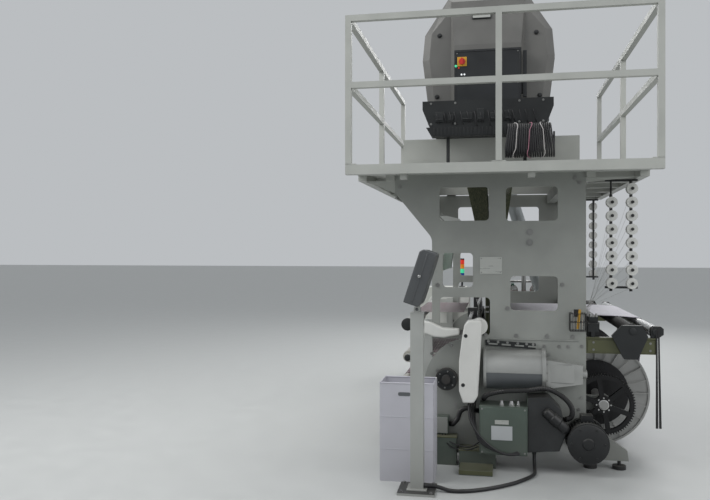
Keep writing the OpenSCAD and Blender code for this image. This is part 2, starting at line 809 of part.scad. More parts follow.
motor_x = 580;
motor_z = 220;
module main_motor() {
    color("#1c1d1f") placed() {
        rod_y(motor_x, motor_z, 120, -190, 0);
        rod_y(motor_x, motor_z, 135, -230, -190);
        rod_y(motor_x, motor_z, 135, -60, -20);
        block(motor_x - 40, motor_x + 40, -150, -60, motor_z + 115, motor_z + 170);
    }
}

// Front of the loom

bar_x = -650;
bar_z = weave_z - 40;
bar_r = 40;
guide_roll_x = -650;
guide_roll_z = take_z + take_up_r + front_roller_r + 2 * web_gap + web_t;
delivery_x = -720;
delivery_z = take_z - take_up_r - front_roller_r - 2 * web_gap - web_t;
upright_x0 = -530;
upright_x1 = -470;
upright_t = 40;
module roller_arm(x, z, h) {
    difference() {
        union() {
            block(x, upright_x0, frame_t, frame_t + upright_t, z - h, z + h);
            rod_y(x, z, h, frame_t, frame_t + upright_t);
        }
        rod_y(x, z, small_journal_r + run_fit, frame_t - 1, frame_t + upright_t + 1, 32);
    }
}
module breast_beam() {
    color("gainsboro") placed() {
        both_sides() {
            block(upright_x0, upright_x1, frame_t, frame_t + upright_t, delivery_z - 30, bar_z + bar_r);
            block(bar_x, upright_x0, frame_t, frame_t + upright_t, bar_z - 30, bar_z + 30);
            roller_arm(guide_roll_x, guide_roll_z, 26);
            roller_arm(delivery_x, delivery_z, 26);
        }
        rod_y(bar_x, bar_z, bar_r, frame_t, gantry_span - frame_t);
    }
}

module front_rod(x, z, r) {
    rod_y(x, z, r, frame_t + upright_t + 15, gantry_span - frame_t - upright_t - 15);
    rod_y(x, z, small_journal_r, frame_t, gantry_span - frame_t, 32);
}
module front_roller() { color("wheat") placed() front_rod(guide_roll_x, guide_roll_z, front_roller_r); }
module delivery_roller() { color("wheat") placed() front_rod(delivery_x, delivery_z, front_roller_r); }

disc_r = 78;
module take_up_roller() {
    color("#3b3b38") placed() {
        rod_y(take_x, take_z, take_up_r, frame_t + 25, gantry_span - frame_t - 25, 72);
        rod_y(take_x, take_z, take_shaft_r, -20, gantry_span - 5);
        rod_y(take_x, take_z, disc_r, -62, -20);
        rod_y(take_x, take_z, 30, -80, -62);
    }
}

module press_roller() {
    color("silver") placed() {
        rod_y(press_x, press_z, press_r, frame_t + 20, gantry_span - frame_t - 20);
        rod_y(press_x, press_z, small_journal_r, 11, gantry_span - 11, 32);
    }
}

// Woven labels: strips from the fell over the front rollers, down to the floor

fell_x = -275;
strip_w = (reed_w - strip_gap * (strips - 1)) / strips;
wrap_r = take_up_r + web_gap + web_t;
roll_r = front_roller_r + web_gap;
web_path = concat(
    [[fell_x, weave_z]],
    arc(bar_x, bar_z, bar_r + web_gap, 70, 180, 7),
    arc(guide_roll_x, guide_roll_z, roll_r, 180, 270, 6),
    arc(take_x, take_z, wrap_r, 90, -90, 12),
    arc(delivery_x, delivery_z, roll_r, 90, 180, 6),
    [[delivery_x - roll_r, 120], [delivery_x - roll_r + 12, 45]]);
module woven_labels() {
    color("#5a2848") placed() for (i = [0:strips - 1])
        let (y = reed_y0 + (strip_w + strip_gap) * i)
            slab_y(y, y + strip_w) polygon(web_outline());
}
// The web lies on the side of its path that is away from the front rollers
function web_outline() = concat(web_path, [for (i = [len(web_path) - 1:-1:0])
    web_path[i] - web_t * path_normal(web_path, i)]);

// Warp beam and let-off

hub_r = 90;
beam_y0 = mid_y - flange_gap / 2;
beam_y1 = mid_y + flange_gap / 2;
gear_y = frame_t + 40;
gear_t = 36;
ribs = 12;
module beam_flange(y0, y1) {
    difference() {
        rod_y(beam_x, beam_z, flange_r, y0, y1, 96);
        rod_y(beam_x, beam_z, journal_r + 10, y0 - 1, y1 + 1);
    }
}
module warp_beam() {
    color("gray") placed() {
        both_sides() {
            beam_flange(beam_y0 - flange_t, beam_y0);
            difference() {
                rod_y(beam_x, beam_z, flange_r, beam_y0 - flange_t - 14, beam_y0 - flange_t, 96);
                rod_y(beam_x, beam_z, flange_r - 14, beam_y0 - flange_t - 15, beam_y0 - flange_t + 1, 96);
            }
            rod_y(beam_x, beam_z, hub_r, beam_y0 - flange_t - 40, beam_y0 - flange_t);
            for (i = [0:ribs - 1]) translate([beam_x, 0, beam_z]) rotate([0, 360 / ribs * i, 0])
                block(hub_r - 10, flange_r - 10, beam_y0 - flange_t - 12, beam_y0 - flange_t, -5, 5);
        }
        rod_y(beam_x, beam_z, journal_r + 10, beam_y0 - flange_t - 40, beam_y1 + flange_t + 40);
        rod_y(beam_x, beam_z, journal_r, gear_y - 10, gantry_span - gear_y + 10);
    }
}

module warp_roll() {
    color("lavender") placed() difference() {
        rod_y(beam_x, beam_z, warp_r, beam_y0, beam_y1, 96);
        rod_y(beam_x, beam_z, journal_r + 10, beam_y0 - 1, beam_y1 + 1);
    }
}

// Straight-sided teeth with some backlash, drawn as one outline
function tooth(r_root, r_tip, w_root, w_tip, a) = [
    for (p = [[r_root, -w_root], [r_tip, -w_tip], [r_tip, w_tip], [r_root, w_root]])
        let (t = p[1] / p[0] * 180 / PI) [p[0] * cos(a + t), p[0] * sin(a + t)]];
function gear_outline(teeth, pitch_r, start) = [
    for (i = [0:teeth - 1]) each tooth(pitch_r - 1.2 * gear_m, pitch_r + 0.85 * gear_m,
        0.95 * gear_m, 0.3 * gear_m, start + 360 * i / teeth)];
spokes = 6;
module beam_gear() {
    color("#2a2a2a") placed() difference() {
        slab_y(gear_y, gear_y + gear_t) translate([beam_x, beam_z])
            polygon(gear_outline(gear_teeth, gear_pitch_r, pinion_turn));
        rod_y(beam_x, beam_z, journal_r, gear_y - 1, gear_y + gear_t + 1);
        difference() {
            rod_y(beam_x, beam_z, gear_pitch_r - 34, gear_y - 1, gear_y + gear_t + 1);
            rod_y(beam_x, beam_z, 62, gear_y - 2, gear_y + gear_t + 2);
            for (i = [0:spokes - 1]) translate([beam_x, 0, beam_z]) rotate([0, i * 360 / spokes + 20, 0])
                block(40, gear_pitch_r, gear_y - 2, gear_y + gear_t + 2, -16, 16);
        }
    }
}

module let_off_pinion() {
    color("dimgray") placed() {
        slab_y(gear_y + 2, gear_y + gear_t - 2) translate([pinion_x, pinion_z])
            polygon(gear_outline(pinion_teeth, pinion_pitch_r, pinion_turn + 180 + 180 / pinion_teeth));
        rod_y(pinion_x, pinion_z, pinion_shaft_r, 6, gear_y + 2, 32);
    }
}

// Bearing arms of the warp beam, on the rear cross tube
bearing_y0 = gear_y + gear_t + 24;
bearing_t = 50;
module beam_brackets() {
    color("darkgray") placed() both_sides() difference() {
        union() {
            block(rear_tie_x + tube_w, beam_x, bearing_y0, bearing_y0 + bearing_t, beam_z - 50, beam_z + 50);
            rod_y(beam_x, beam_z, 62, bearing_y0, bearing_y0 + bearing_t);
        }
        rod_y(beam_x, beam_z, journal_r + run_fit, bearing_y0 - 1, bearing_y0 + bearing_t + 1);
    }
}

// Arms behind the loom with the guide roller, the whip roller and the stop motion

arm_y0 = 10;
arm_y1 = frame_t;
arm_z0 = 789;
arm_top = frame_top + 30;
arm_end = 1050;
guide_x = 1045;
guide_z = 940;
whip_x = 890;
whip_z = 950;
rear_journal_r = 12;
module rear_arms() {
    color("olive") placed() both_sides() {
        block(gantry_back, arm_end, arm_y0, arm_y1, arm_z0, arm_top);
        block(gantry_back, arm_end, arm_y0 - 6, arm_y0, arm_top - 8, arm_top);
    }
}

module back_rest_brackets() {
    color("black") placed() both_sides() {
        difference() {
            slab_y(arm_y0 - 46, arm_y0 - 6) polygon([
                [whip_x - 55, arm_z0 - 30], [whip_x + 33, arm_z0 - 30], [whip_x + 99, whip_z - 36],
                [whip_x + 60, whip_z + 38], [whip_x - 68, whip_z + 38], [whip_x - 136, whip_z - 36]]);
            rod_y(whip_x, whip_z, rear_journal_r + run_fit, arm_y0 - 47, arm_y0 - 5, 32);
        }
        difference() {
            slab_y(arm_y0, arm_y1) polygon([
                [guide_x - 29, arm_top], [guide_x + 15, arm_top], [guide_x + 51, guide_z - 15],
                [guide_x + 51, guide_z + 25], [guide_x + 33, guide_z + 41], [guide_x - 15, guide_z + 41],
                [guide_x - 29, guide_z + 20]]);
            rod_y(guide_x, guide_z, rear_journal_r + run_fit, arm_y0 - 1, arm_y1 + 1, 32);
        }
    }
}

module rear_roller(x, z, y_end) {
    rod_y(x, z, rear_roller_r, arm_y1 + 10, gantry_span - arm_y1 - 10, 64);
    rod_y(x, z, rear_journal_r, y_end, gantry_span - y_end, 32);
}
module whip_roller() { color("dimgray") placed() rear_roller(whip_x, whip_z, arm_y0 - 46); }
module guide_roller() { color("silver") placed() rear_roller(guide_x, guide_z, arm_y0); }

stop_x0 = gantry_back + 15;
stop_x1 = gantry_back + 95;
module stop_motion() {
    color("#2e3440") placed() {
        both_sides() {
            block(stop_x0, stop_x1 - 10, arm_y0, arm_y1, arm_top + 37, weave_z - 6);
            block(stop_x0 + 20, stop_x1 - 35, arm_y0, arm_y1, arm_top, arm_top + 37);
            block(stop_x0 + 10, stop_x1 - 10, arm_y1, arm_y1 + 8, arm_top, weave_z + 35);
        }
        block(stop_x0, stop_x1, arm_y1, gantry_span - arm_y1, arm_top, weave_z - sheet_gap);
        block(stop_x0 + 10, stop_x1 - 10, arm_y1, gantry_span - arm_y1, weave_z + 15, weave_z + 35);
    }
}

// Warp sheet from the beam over the rollers to the harness
sheet_y0 = mid_y - flange_gap / 2 + 40;
sheet_y1 = mid_y + flange_gap / 2 - 40;
sheet_gap = 2;
sheet_t = 3;
roll_to_guide = [guide_x - beam_x, guide_z - beam_z];
sheet_turn = atan2(roll_to_guide[1], roll_to_guide[0]) - 90
    + asin((warp_r - rear_roller_r) / norm(roll_to_guide));
sheet_start = [beam_x, beam_z] + (warp_r + sheet_gap) * [cos(sheet_turn), sin(sheet_turn)];
sheet_path = concat(
    [sheet_start],
    arc(guide_x, guide_z, rear_roller_r + sheet_gap, sheet_turn, 94, 8),
    arc(whip_x, whip_z, rear_roller_r + sheet_gap, 88, 94, 2),
    [[stop_x1, weave_z - sheet_gap], [stop_x0, weave_z - sheet_gap], [30, weave_z - sheet_gap]]);
module warp_sheet() {
    color("lavender") placed() slab_y(sheet_y0, sheet_y1)
        polygon(concat(sheet_path, [for (i = [len(sheet_path) - 1:-1:0])
            sheet_path[i] - sheet_t * path_normal(sheet_path, i)]));
}

// Cord spools: hanging racks for the catch cords, at the warp side under the platform

spool_x = [781, 916];
rack_low = platform_z - 756;
spool_pitch = 95;
spool_r = 38;
module spools(x, n, top) {
    for (i = [0:n - 1]) {
        rod_y(x, top - spool_pitch * i, spool_r, spool_y - 64, spool_y - 10, 24);
        rod_y(x, top - spool_pitch * i, 8, spool_y - 70, spool_y, 16);
    }
}
module spool_rack() {
    color("whitesmoke") placed() both_sides() {
        for (x = spool_x) rod_z(x, spool_y, 7, rack_low, platform_z, 16);
        block(740, 960, spool_y - 12, spool_y + 12, platform_z - 14, platform_z);
        block(740, 960, spool_y - 8, spool_y + 8, rack_low - 16, rack_low);
        spools(spool_x[0], 7, platform_z - 164);
        spools(spool_x[1], 8, platform_z - 70);
    }
}

// Hoses that the loom holds between its boxes along the drive side

cable_r = 18;
bundle_routes = [
    [[-100, -0.6, 462], [-100, -25, 462], [-100, -50, 462], [-95, -130, 490], [-59, -165, 517],
     [41, -175, 541], [186, -178, 553],
     [303, -182, 570], [387, -185, 540], [450, -180, 490], [482, -162, 435], [482, -126, 378],
     [458, -95, 351], [442.2, -95, 348.2], [426.5, -95, 345.4]],
    [[-347.2, -30, 270], [-332.6, -30, 270], [-318, -30, 270], [-285, -45, 310], [-262, -70, 372],
     [-215, -100, 400],
     [-164, -110, 388], [-147.4, -110, 388], [-130.8, -110, 388]]];
module hoses() {
    color("#161616") placed() for (r = bundle_routes) swept_tube(smooth_route(r, 4), cable_r);
}

// Outer shape of the head's cable, tied up as a hank at the near end of the base
coil_x0 = 30;
coil_x1 = 380;
coil_w = 110;
coil_h = 240;
coil_z = rail_low + 3;
module cable_coil() {
    color("#161616") placed() slab_x(coil_x0, coil_x1) polygon(
        round_rect(base_y0 - 10 - coil_w, base_y0 - 10, coil_z - coil_h, coil_z, coil_w / 2 - 1));
}

// Pendant: a post on a floor plate with a tilting screen

pivot_z = post_h + 22;
screen_shift = 34;
pivot_r = 10;
ear_t = 10;
module pendant_post() {
    color("darkgray") placed() {
        block(post_x - base_side / 2, post_x + base_side / 2, post_y - base_side / 2,
              post_y + base_side / 2, 0, 15);
        block(post_x - post_w / 2, post_x + post_w / 2, post_y - post_w / 2, post_y + post_w / 2, 15, post_h);
        difference() {
            for (y = [post_y - 30, post_y + 30 - ear_t]) {
                block(post_x - 20, post_x + 20, y, y + ear_t, post_h, pivot_z);
                rod_y(post_x, pivot_z, 20, y, y + ear_t);
            }
            rod_y(post_x, pivot_z, pivot_r + run_fit, post_y - 40, post_y + 40, 32);
        }
    }
}

module pendant_screen() {
    color("dimgray") placed() {
        rod_y(post_x, pivot_z, pivot_r, post_y - 34, post_y + 34, 32);
        translate([post_x, post_y, pivot_z]) rotate([0, screen_tilt, 0]) {
            block(-8, 8, ear_t + 0.5 - 30, 29.5 - ear_t, 0, 30);
            translate([-screen_shift, 0, 0]) slab_y(-screen_w / 2, screen_w / 2) polygon([
                [-screen_d / 2, 24], [screen_d / 2 - 12, 24], [screen_d / 2, 40], [screen_d / 2, screen_h + 10],
                [screen_d / 2 - 12, screen_h + 24], [20 - screen_d / 2, screen_h + 24],
                [-screen_d / 2, screen_h + 4]]);
        }
    }
}

// Cable from the pendant along the floor to the loom
cord_r = 12;
cord_route = [
    [-457.7, -700, 34], [-428, -700, 34], [-398, -700, 34], [-368, -700.5, 30.5], [-338, -702, 23],
    [-306, -704, 15.6], [-270, -704.5, 12.7], [-222, -697, 12.4], [-155, -672, 12.4], [-75, -624, 12.4],
    [10, -558, 12.4], [90, -480, 12.4], [152, -400, 12.4], [198, -330, 12.4], [225, -275, 12.4],
    [236, -225, 12.4], [238, -185.4, 13.5], [238, -159.3, 20.2], [238, -136, 33.6], [238, -117, 52.6],
    [238, -103.7, 76.1], [238, -97.1, 101.6], [238, -96, 133]];
module pendant_cable() {
    color("black") placed() swept_tube(smooth_route(cord_route, 3), cord_r);
}

bin_x0 = -760;
bin_y0 = -545;
module waste_bin() {
    color("lavender") placed() difference() {
        block(bin_x0, bin_x0 + bin_l, bin_y0, bin_y0 + bin_w, 0, bin_h);
        block(bin_x0 + bin_t, bin_x0 + bin_l - bin_t, bin_y0 + bin_t, bin_y0 + bin_w - bin_t,
              bin_t, bin_h + 1);
    }
}

// Control cabinet with its door and signal tower

plinth_h = 100;
module control_cabinet() {
    color("gainsboro") placed() {
        difference() {
            block(cabinet_x0, cabinet_x1, cabinet_y0, cabinet_y1, plinth_h, cabinet_h);
            block(cabinet_x0 + 15, cabinet_x1 - 15, cabinet_y0 + 15, cabinet_y1 + 1,
                  plinth_h + 15, cabinet_h - 15);
        }
        block(cabinet_x0 + 10, cabinet_x1 - 10, cabinet_y0 + 10, cabinet_y1 - 10, 0, plinth_h);
        for (z = hinge_zs) {
            rod_z(hinge_x, hinge_y, hinge_r, z - knuckle, z - slide_gap, 24);
            rod_z(hinge_x, hinge_y, pin_r, z - slide_gap, z + hinge_len, 24);
            block(hinge_x, hinge_x + 6, cabinet_y1 - 40, hinge_y, z - knuckle, z - slide_gap);
        }
        block(cabinet_x0 + 60, cabinet_x1 - 60, cabinet_y0 + 15, cabinet_y0 + 120,
              plinth_h + 60, cabinet_h - 80);
    }
}

door_gap = 1;
hinge_r = 8;
hinge_x = cabinet_x1;
hinge_y = cabinet_y1 + door_t;
hinge_zs = [plinth_h + 100, cabinet_h - 200];
hinge_len = 90;
knuckle = 30;
pin_r = 4;
module cabinet_door() {
    color("gainsboro") placed() {
        difference() {
            union() {
                block(cabinet_x0, cabinet_x1, cabinet_y1 + door_gap, hinge_y, plinth_h + 4, cabinet_h - 4);
                for (z = hinge_zs) rod_z(hinge_x, hinge_y, hinge_r, z, z + hinge_len, 24);
            }
            for (z = hinge_zs) {
                rod_z(hinge_x, hinge_y, pin_r + run_fit, z - 1, z + hinge_len + 1, 24);
                rod_z(hinge_x, hinge_y, hinge_r + slide_gap, z - knuckle - slide_gap, z, 24);
            }
        }
        block(cabinet_x0 + 30, cabinet_x0 + 52, cabinet_y1 + door_t, cabinet_y1 + door_t + handle_out,
              560, 680);
    }
}

tower_x = cabinet_x1 - 51;
tower_y = (cabinet_y0 + cabinet_y1) / 2;
tower_r = 27;
module stack_light() {
    color("white") placed() {
        rod_z(tower_x, tower_y, 38, cabinet_h, cabinet_h + 10);
        rod_z(tower_x, tower_y, 12, cabinet_h + 10, cabinet_h + 90);
        rod_z(tower_x, tower_y, tower_r, cabinet_h + 90, cabinet_h + tower_h);
    }
}

// Lamp under the front of the gantry, on two hangers

lamp_z = gantry_top - 342;
lamp_len = 800;
lamp_h = 55;
module work_lamp() {
    color("white") placed() {
        slab_y(mid_y - lamp_len / 2, mid_y + lamp_len / 2) polygon([
            [-620, lamp_z], [-320, lamp_z + 15], [-320, lamp_z + 30], [-420, lamp_z + lamp_h],
            [-590, lamp_z + lamp_h], [-620, lamp_z + 25]]);
        for (y = [mid_y - 300, mid_y + 300]) {
            rod_z(-684, y, 9, lamp_z + lamp_h, gantry_top - top_tie_h, 24);
            block(-696, -500, y - 12, y + 12, lamp_z + lamp_h - 4, lamp_z + lamp_h + 6);
        }
    }
}

// Weft feeders on their stand, at the weft side

stand_x = 275;
stand_half = 260;
stand_y = gantry_span + 740;
feeder_rows = 4;
feeder_half = 125;
feeder_z0 = 790;
feeder_pitch = 265;
feeder_strap_top = 78;
stand_foot_w = 40;
stand_foot_h = 30;
stand_foot_half = 200;
foot_inset = 20;
stand_arm_r = 12;
stand_arm_half = 230;
pole_r = 24;
pole_over = 45;
function feeder_z(row) = feeder_z0 + feeder_pitch * row;
function stand_arm_z(row) = feeder_z(row) + feeder_strap_top + stand_arm_r;
module feeder_stand() {
    color("silver") placed() {
        block(stand_x - stand_half, stand_x + stand_half, stand_y - stand_foot_w / 2,
              stand_y + stand_foot_w / 2, 0, stand_foot_h);
        for (x = [stand_x - stand_half + foot_inset, stand_x + stand_half - foot_inset - stand_foot_w])
            block(x, x + stand_foot_w, stand_y - stand_foot_half, stand_y + stand_foot_half, 0, stand_foot_h);
        rod_z(stand_x, stand_y, pole_r, stand_foot_h, stand_arm_z(feeder_rows - 1) + pole_over);
        for (i = [0:feeder_rows - 1])
            rod_x(stand_y, stand_arm_z(i), stand_arm_r, stand_x - stand_arm_half, stand_x + stand_arm_half, 24);
    }
}

// A weft accumulator: motor housing, winding drum and a bracket along the top
module weft_feeder(x, z) {
    y = stand_y;
    rod_y(x, z, 42, y - 60, y + 60, 32);
    rod_y(x, z, 60, y - 150, y - 60, 32);
    rod_y(x, z, 50, y + 60, y + 110, 32);
    block(x - 18, x + 18, y - 190, y + 90, z + 40, z + feeder_strap_top);
    block(x - 18, x + 18, y - 190, y - 170, z - 10, z + 40);
}
module weft_feeders() {
    color("darkgreen") placed()
        for (i = [0:feeder_rows - 1], x = [stand_x - feeder_half, stand_x + feeder_half])
            weft_feeder(x, feeder_z(i));
}

side_frames();
gantry_plates();
cross_members();
levelling_feet();
head_deck();
platform();
guard_rail();
head_base();
head_cover_near();
head_cover_far();
head_side_panels();
head_control_box();
isolator_knob();
jacquard_gearboxes();
shaft_cover();
jacquard_shaft();
harness_rear();
harness_front();
comber_board();
harness_springs();
sley();
reed();
rapier_guides();
rapier_near();
rapier_far();
drive_housing();
drive_cover();
front_shields();
breast_beam();
take_up_roller();
press_roller();
front_roller();
delivery_roller();
woven_labels();
warp_sheet();
warp_beam();
warp_roll();
beam_gear();
beam_brackets();
let_off_pinion();
rear_arms();
back_rest_brackets();
whip_roller();
guide_roller();
stop_motion();
main_motor();
drive_box();
hoses();
cable_coil();
spool_rack();
pendant_post();
pendant_screen();
pendant_cable();
waste_bin();
control_cabinet();
cabinet_door();
stack_light();
work_lamp();
feeder_stand();
weft_feeders();
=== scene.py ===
"""Dresses the power loom: camera, cords, materials and detailed pieces."""

import json
import math
import random

import bmesh
import bpy
from mathutils import Matrix, Vector


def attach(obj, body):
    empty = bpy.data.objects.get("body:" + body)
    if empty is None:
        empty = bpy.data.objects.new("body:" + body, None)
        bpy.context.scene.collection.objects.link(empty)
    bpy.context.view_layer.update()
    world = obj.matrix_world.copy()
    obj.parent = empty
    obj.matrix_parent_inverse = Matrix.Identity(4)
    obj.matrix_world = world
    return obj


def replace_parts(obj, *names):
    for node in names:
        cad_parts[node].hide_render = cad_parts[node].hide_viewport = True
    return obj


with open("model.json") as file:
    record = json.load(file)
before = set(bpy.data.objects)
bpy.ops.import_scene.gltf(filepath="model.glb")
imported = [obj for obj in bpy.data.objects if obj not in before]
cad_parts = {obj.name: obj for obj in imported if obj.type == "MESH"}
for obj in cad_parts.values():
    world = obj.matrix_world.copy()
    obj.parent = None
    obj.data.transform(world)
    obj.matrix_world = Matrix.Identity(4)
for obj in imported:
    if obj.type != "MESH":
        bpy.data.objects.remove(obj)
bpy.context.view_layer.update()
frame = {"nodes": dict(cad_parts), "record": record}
random.seed(7)

# Every length is in millimetres of the loom, whose own corner is the outer face of the
# drive-side gantry plate. CORNER is where that corner lies in the part's frame, in metres.
CORNER = Vector((-0.059, -1.531, 0.0))
SPAN = 2500.0
MIDDLE = SPAN / 2
REED = (700.0, 1800.0)
REED_WIDTH = REED[1] - REED[0]


def place(point):
    """A point of the loom, in millimetres, as a point of the part's frame, in metres."""
    return CORNER + Vector(point) / 1000.0


def new_object(name, data):
    """An object of its data, linked to the scene."""
    made = bpy.data.objects.new(name, data)
    bpy.context.scene.collection.objects.link(made)
    return made


# ---------------------------------------------------------------- camera

camera = new_object("camera", bpy.data.cameras.new("camera"))
camera.data.sensor_width = 36.0
camera.data.lens = 37.5
camera.location = place((0, -5300, 1500))
camera.rotation_euler = (math.radians(90), 0, math.radians(11))
bpy.context.scene.camera = camera


# ---------------------------------------------------------------- materials

MATERIAL = {}


def new_material(name):
    """Starts a material under its name: its node tree, its main shader and where on the object it is."""
    made = MATERIAL[name] = bpy.data.materials.new(name)
    made.use_nodes = True
    tree = made.node_tree
    return tree, tree.nodes["Principled BSDF"], add(tree, "ShaderNodeTexCoord").outputs["Object"]


def fill(tree, node, inputs):
    """Sets each input of a node to a value, or links it to a socket."""
    for key, value in inputs.items():
        if isinstance(value, bpy.types.NodeSocket):
            tree.links.new(value, node.inputs[key])
        else:
            node.inputs[key].default_value = value


def add(tree, kind, inputs=None, **settings):
    """A node with its inputs and its settings."""
    made = tree.nodes.new(kind)
    for key, value in settings.items():
        setattr(made, key, value)
    fill(tree, made, inputs or {})
    return made


def stretched(tree, at, scale):
    """A place, scaled by an amount for each axis."""
    return add(tree, "ShaderNodeMapping", {"Vector": at, "Scale": scale}).outputs[0]


def noise(tree, at, scale, detail, distortion=0.0):
    """Noise at a place."""
    inputs = {"Vector": at, "Scale": scale, "Detail": detail, "Distortion": distortion}
    return add(tree, "ShaderNodeTexNoise", inputs).outputs["Fac"]


def ramp(tree, factor, *stops):
    """A colour ramp over a factor, from stops of a position and a colour."""
    made = add(tree, "ShaderNodeValToRGB", {"Fac": factor})
    for element, (position, colour) in zip(made.color_ramp.elements, stops):
        element.position = position
        element.color = (*colour, 1.0)
    return made.outputs["Color"]


def mix(tree, factor, one, two):
    """A blend of a socket's colour with a plain colour."""
    return add(tree, "ShaderNodeMix", {0: factor, 6: one, 7: (*two, 1.0)}, data_type="RGBA").outputs[2]


def maths(tree, operation, one, two=0.0, clamp=False):
    """One step of arithmetic on sockets or numbers."""
    return add(tree, "ShaderNodeMath", {0: one, 1: two}, operation=operation, use_clamp=clamp).outputs[0]


def spread(tree, factor, low, high, to_low, to_high):
    """A factor carried from one range to another."""
    return add(tree, "ShaderNodeMapRange", {0: factor, 1: low, 2: high, 3: to_low, 4: to_high}).outputs[0]


def relief(tree, strength, depth, height):
    """A bump, for a shader's normal."""
    return add(tree, "ShaderNodeBump", {"Strength": strength, "Distance": depth, "Height": height}).outputs[0]


def shade(colour, amount):
    """A colour made lighter or darker by a share."""
    return tuple(min(1.0, max(0.0, c * (1.0 + amount))) for c in colour)


DUST = (0.30, 0.29, 0.26)
# Colour, and top height in metres, of the darker, browner patches towards the floor.
FLOOR_TONE = (0.10, 0.095, 0.08)
FLOOR_TONE_TOP = 0.45


def surface(name, colour, rough=0.5, metal=0.0, mottle=0.10, grain=90.0, bump=0.25, dust=0.0,
            stretch=(1, 1, 1), coat=0.0, floor_darkening=0.0):
    """Paint, metal or plastic: mottled colour, uneven gloss, a fine bump, dust on what
    faces up and darker, browner patches towards the floor."""
    tree, shader, at = new_material(name)
    where = stretched(tree, at, stretch)
    broad = noise(tree, where, 5.0, 6.0)
    fine = noise(tree, where, grain, 4.0)
    tint = ramp(tree, broad, (0.32, shade(colour, -mottle)), (0.68, shade(colour, mottle)))
    tint = mix(tree, maths(tree, "MULTIPLY", fine, 0.25), tint, shade(colour, -1.6 * mottle))
    if dust:
        up = add(tree, "ShaderNodeSeparateXYZ", {0: add(tree, "ShaderNodeNewGeometry").outputs["Normal"]})
        facing = maths(tree, "SMOOTH_MAX", maths(tree, "SUBTRACT", up.outputs["Z"], 0.35), 0.0)
        share = maths(tree, "MULTIPLY", maths(tree, "MULTIPLY", facing, broad), 2.4 * dust, True)
        tint = mix(tree, share, tint, DUST)
    # Darker, browner patches that grow from this height down to the floor.
    if floor_darkening:
        height = add(tree, "ShaderNodeSeparateXYZ", {0: at}).outputs["Z"]
        low = spread(tree, height, FLOOR_TONE_TOP, 0.0, 0.0, 1.0)
        share = maths(tree, "MULTIPLY", maths(tree, "MULTIPLY", low, broad), 2.0 * floor_darkening, True)
        tint = mix(tree, share, tint, FLOOR_TONE)
    gloss = spread(tree, broad, 0.3, 0.7, max(0.05, rough - 0.09), min(1.0, rough + 0.09))
    fill(tree, shader, {"Base Color": tint, "Roughness": gloss, "Metallic": metal, "Coat Weight": coat,
                        "Normal": relief(tree, bump, 0.0008, fine)})


def striped(name, light, dark, across, pitch, rough=0.7, bump=0.6, wobble=0.4):
    """Threads or cords side by side: fine uneven stripes across one or more axes."""
    tree, shader, at = new_material(name)
    scale = tuple((1.0 if axis in across else 0.02) / pitch for axis in "xyz")
    thread = noise(tree, stretched(tree, at, scale), 1.0, 3.0, wobble)
    tint = ramp(tree, thread, (0.36, dark), (0.62, light))
    tint = mix(tree, maths(tree, "MULTIPLY", noise(tree, at, 4.0, 3.0), 0.35), tint, dark)
    fill(tree, shader, {"Base Color": tint, "Roughness": rough, "Sheen Weight": 0.2,
                        "Normal": relief(tree, bump, 0.001, thread)})


def label_cloth():
    """Woven label tape: dark red ground, pale selvedges and a repeat of plain lozenges."""
    tree, shader, at = new_material("label_cloth")
    uv = at.node.outputs["UV"]
    parts = add(tree, "ShaderNodeSeparateXYZ", {0: uv})
    shares = [maths(tree, "FRACT", parts.outputs[axis]) for axis in "XY"]
    across, down = [maths(tree, "ABSOLUTE", maths(tree, "SUBTRACT", share, 0.5)) for share in shares]
    reach = maths(tree, "ADD", across, maths(tree, "MULTIPLY", down, 0.9))
    weave = noise(tree, uv, 60.0, 4.0)
    tint = ramp(tree, weave, (0.3, (0.055, 0.012, 0.022)), (0.7, (0.13, 0.025, 0.05)))
    for operation, value, limit, colour in (
            ("LESS_THAN", reach, 0.27, (0.52, 0.46, 0.48)), ("LESS_THAN", reach, 0.13, (0.16, 0.02, 0.05)),
            ("GREATER_THAN", across, 0.43, (0.02, 0.018, 0.02)),
            ("GREATER_THAN", down, 0.455, (0.55, 0.50, 0.50))):
        tint = mix(tree, maths(tree, operation, value, limit), tint, colour)
    fill(tree, shader, {"Base Color": tint, "Roughness": 0.62, "Sheen Weight": 0.3,
                        "Normal": relief(tree, 0.4, 0.0006, weave)})


def see_through(name, colour, rough, transmission):
    """Smoky plastic or glass with a faint haze."""
    tree, shader, at = new_material(name)
    tint = ramp(tree, noise(tree, at, 14.0, 4.0), (0.3, shade(colour, -0.12)), (0.7, colour))
    fill(tree, shader, {"Base Color": tint, "Roughness": rough, "IOR": 1.46,
                        "Transmission Weight": transmission})


def glowing(name, colour, strength):
    """A lit lens or lamp panel, a little uneven."""
    tree, shader, at = new_material(name)
    tint = ramp(tree, noise(tree, at, 18.0, 2.0), (0.3, shade(colour, -0.15)), (0.7, colour))
    fill(tree, shader, {"Base Color": tint, "Roughness": 0.3, "Emission Color": tint,
                        "Emission Strength": strength})


def wooden(name):
    """Drilled hardwood board, with its grain along Y."""
    tree, shader, at = new_material(name)
    grain = noise(tree, stretched(tree, at, (60, 3, 60)), 1.0, 6.0, 0.8)
    tint = ramp(tree, grain, (0.3, (0.20, 0.12, 0.06)), (0.7, (0.45, 0.31, 0.18)))
    fill(tree, shader, {"Base Color": tint, "Roughness": 0.48, "Normal": relief(tree, 0.3, 0.0006, grain)})


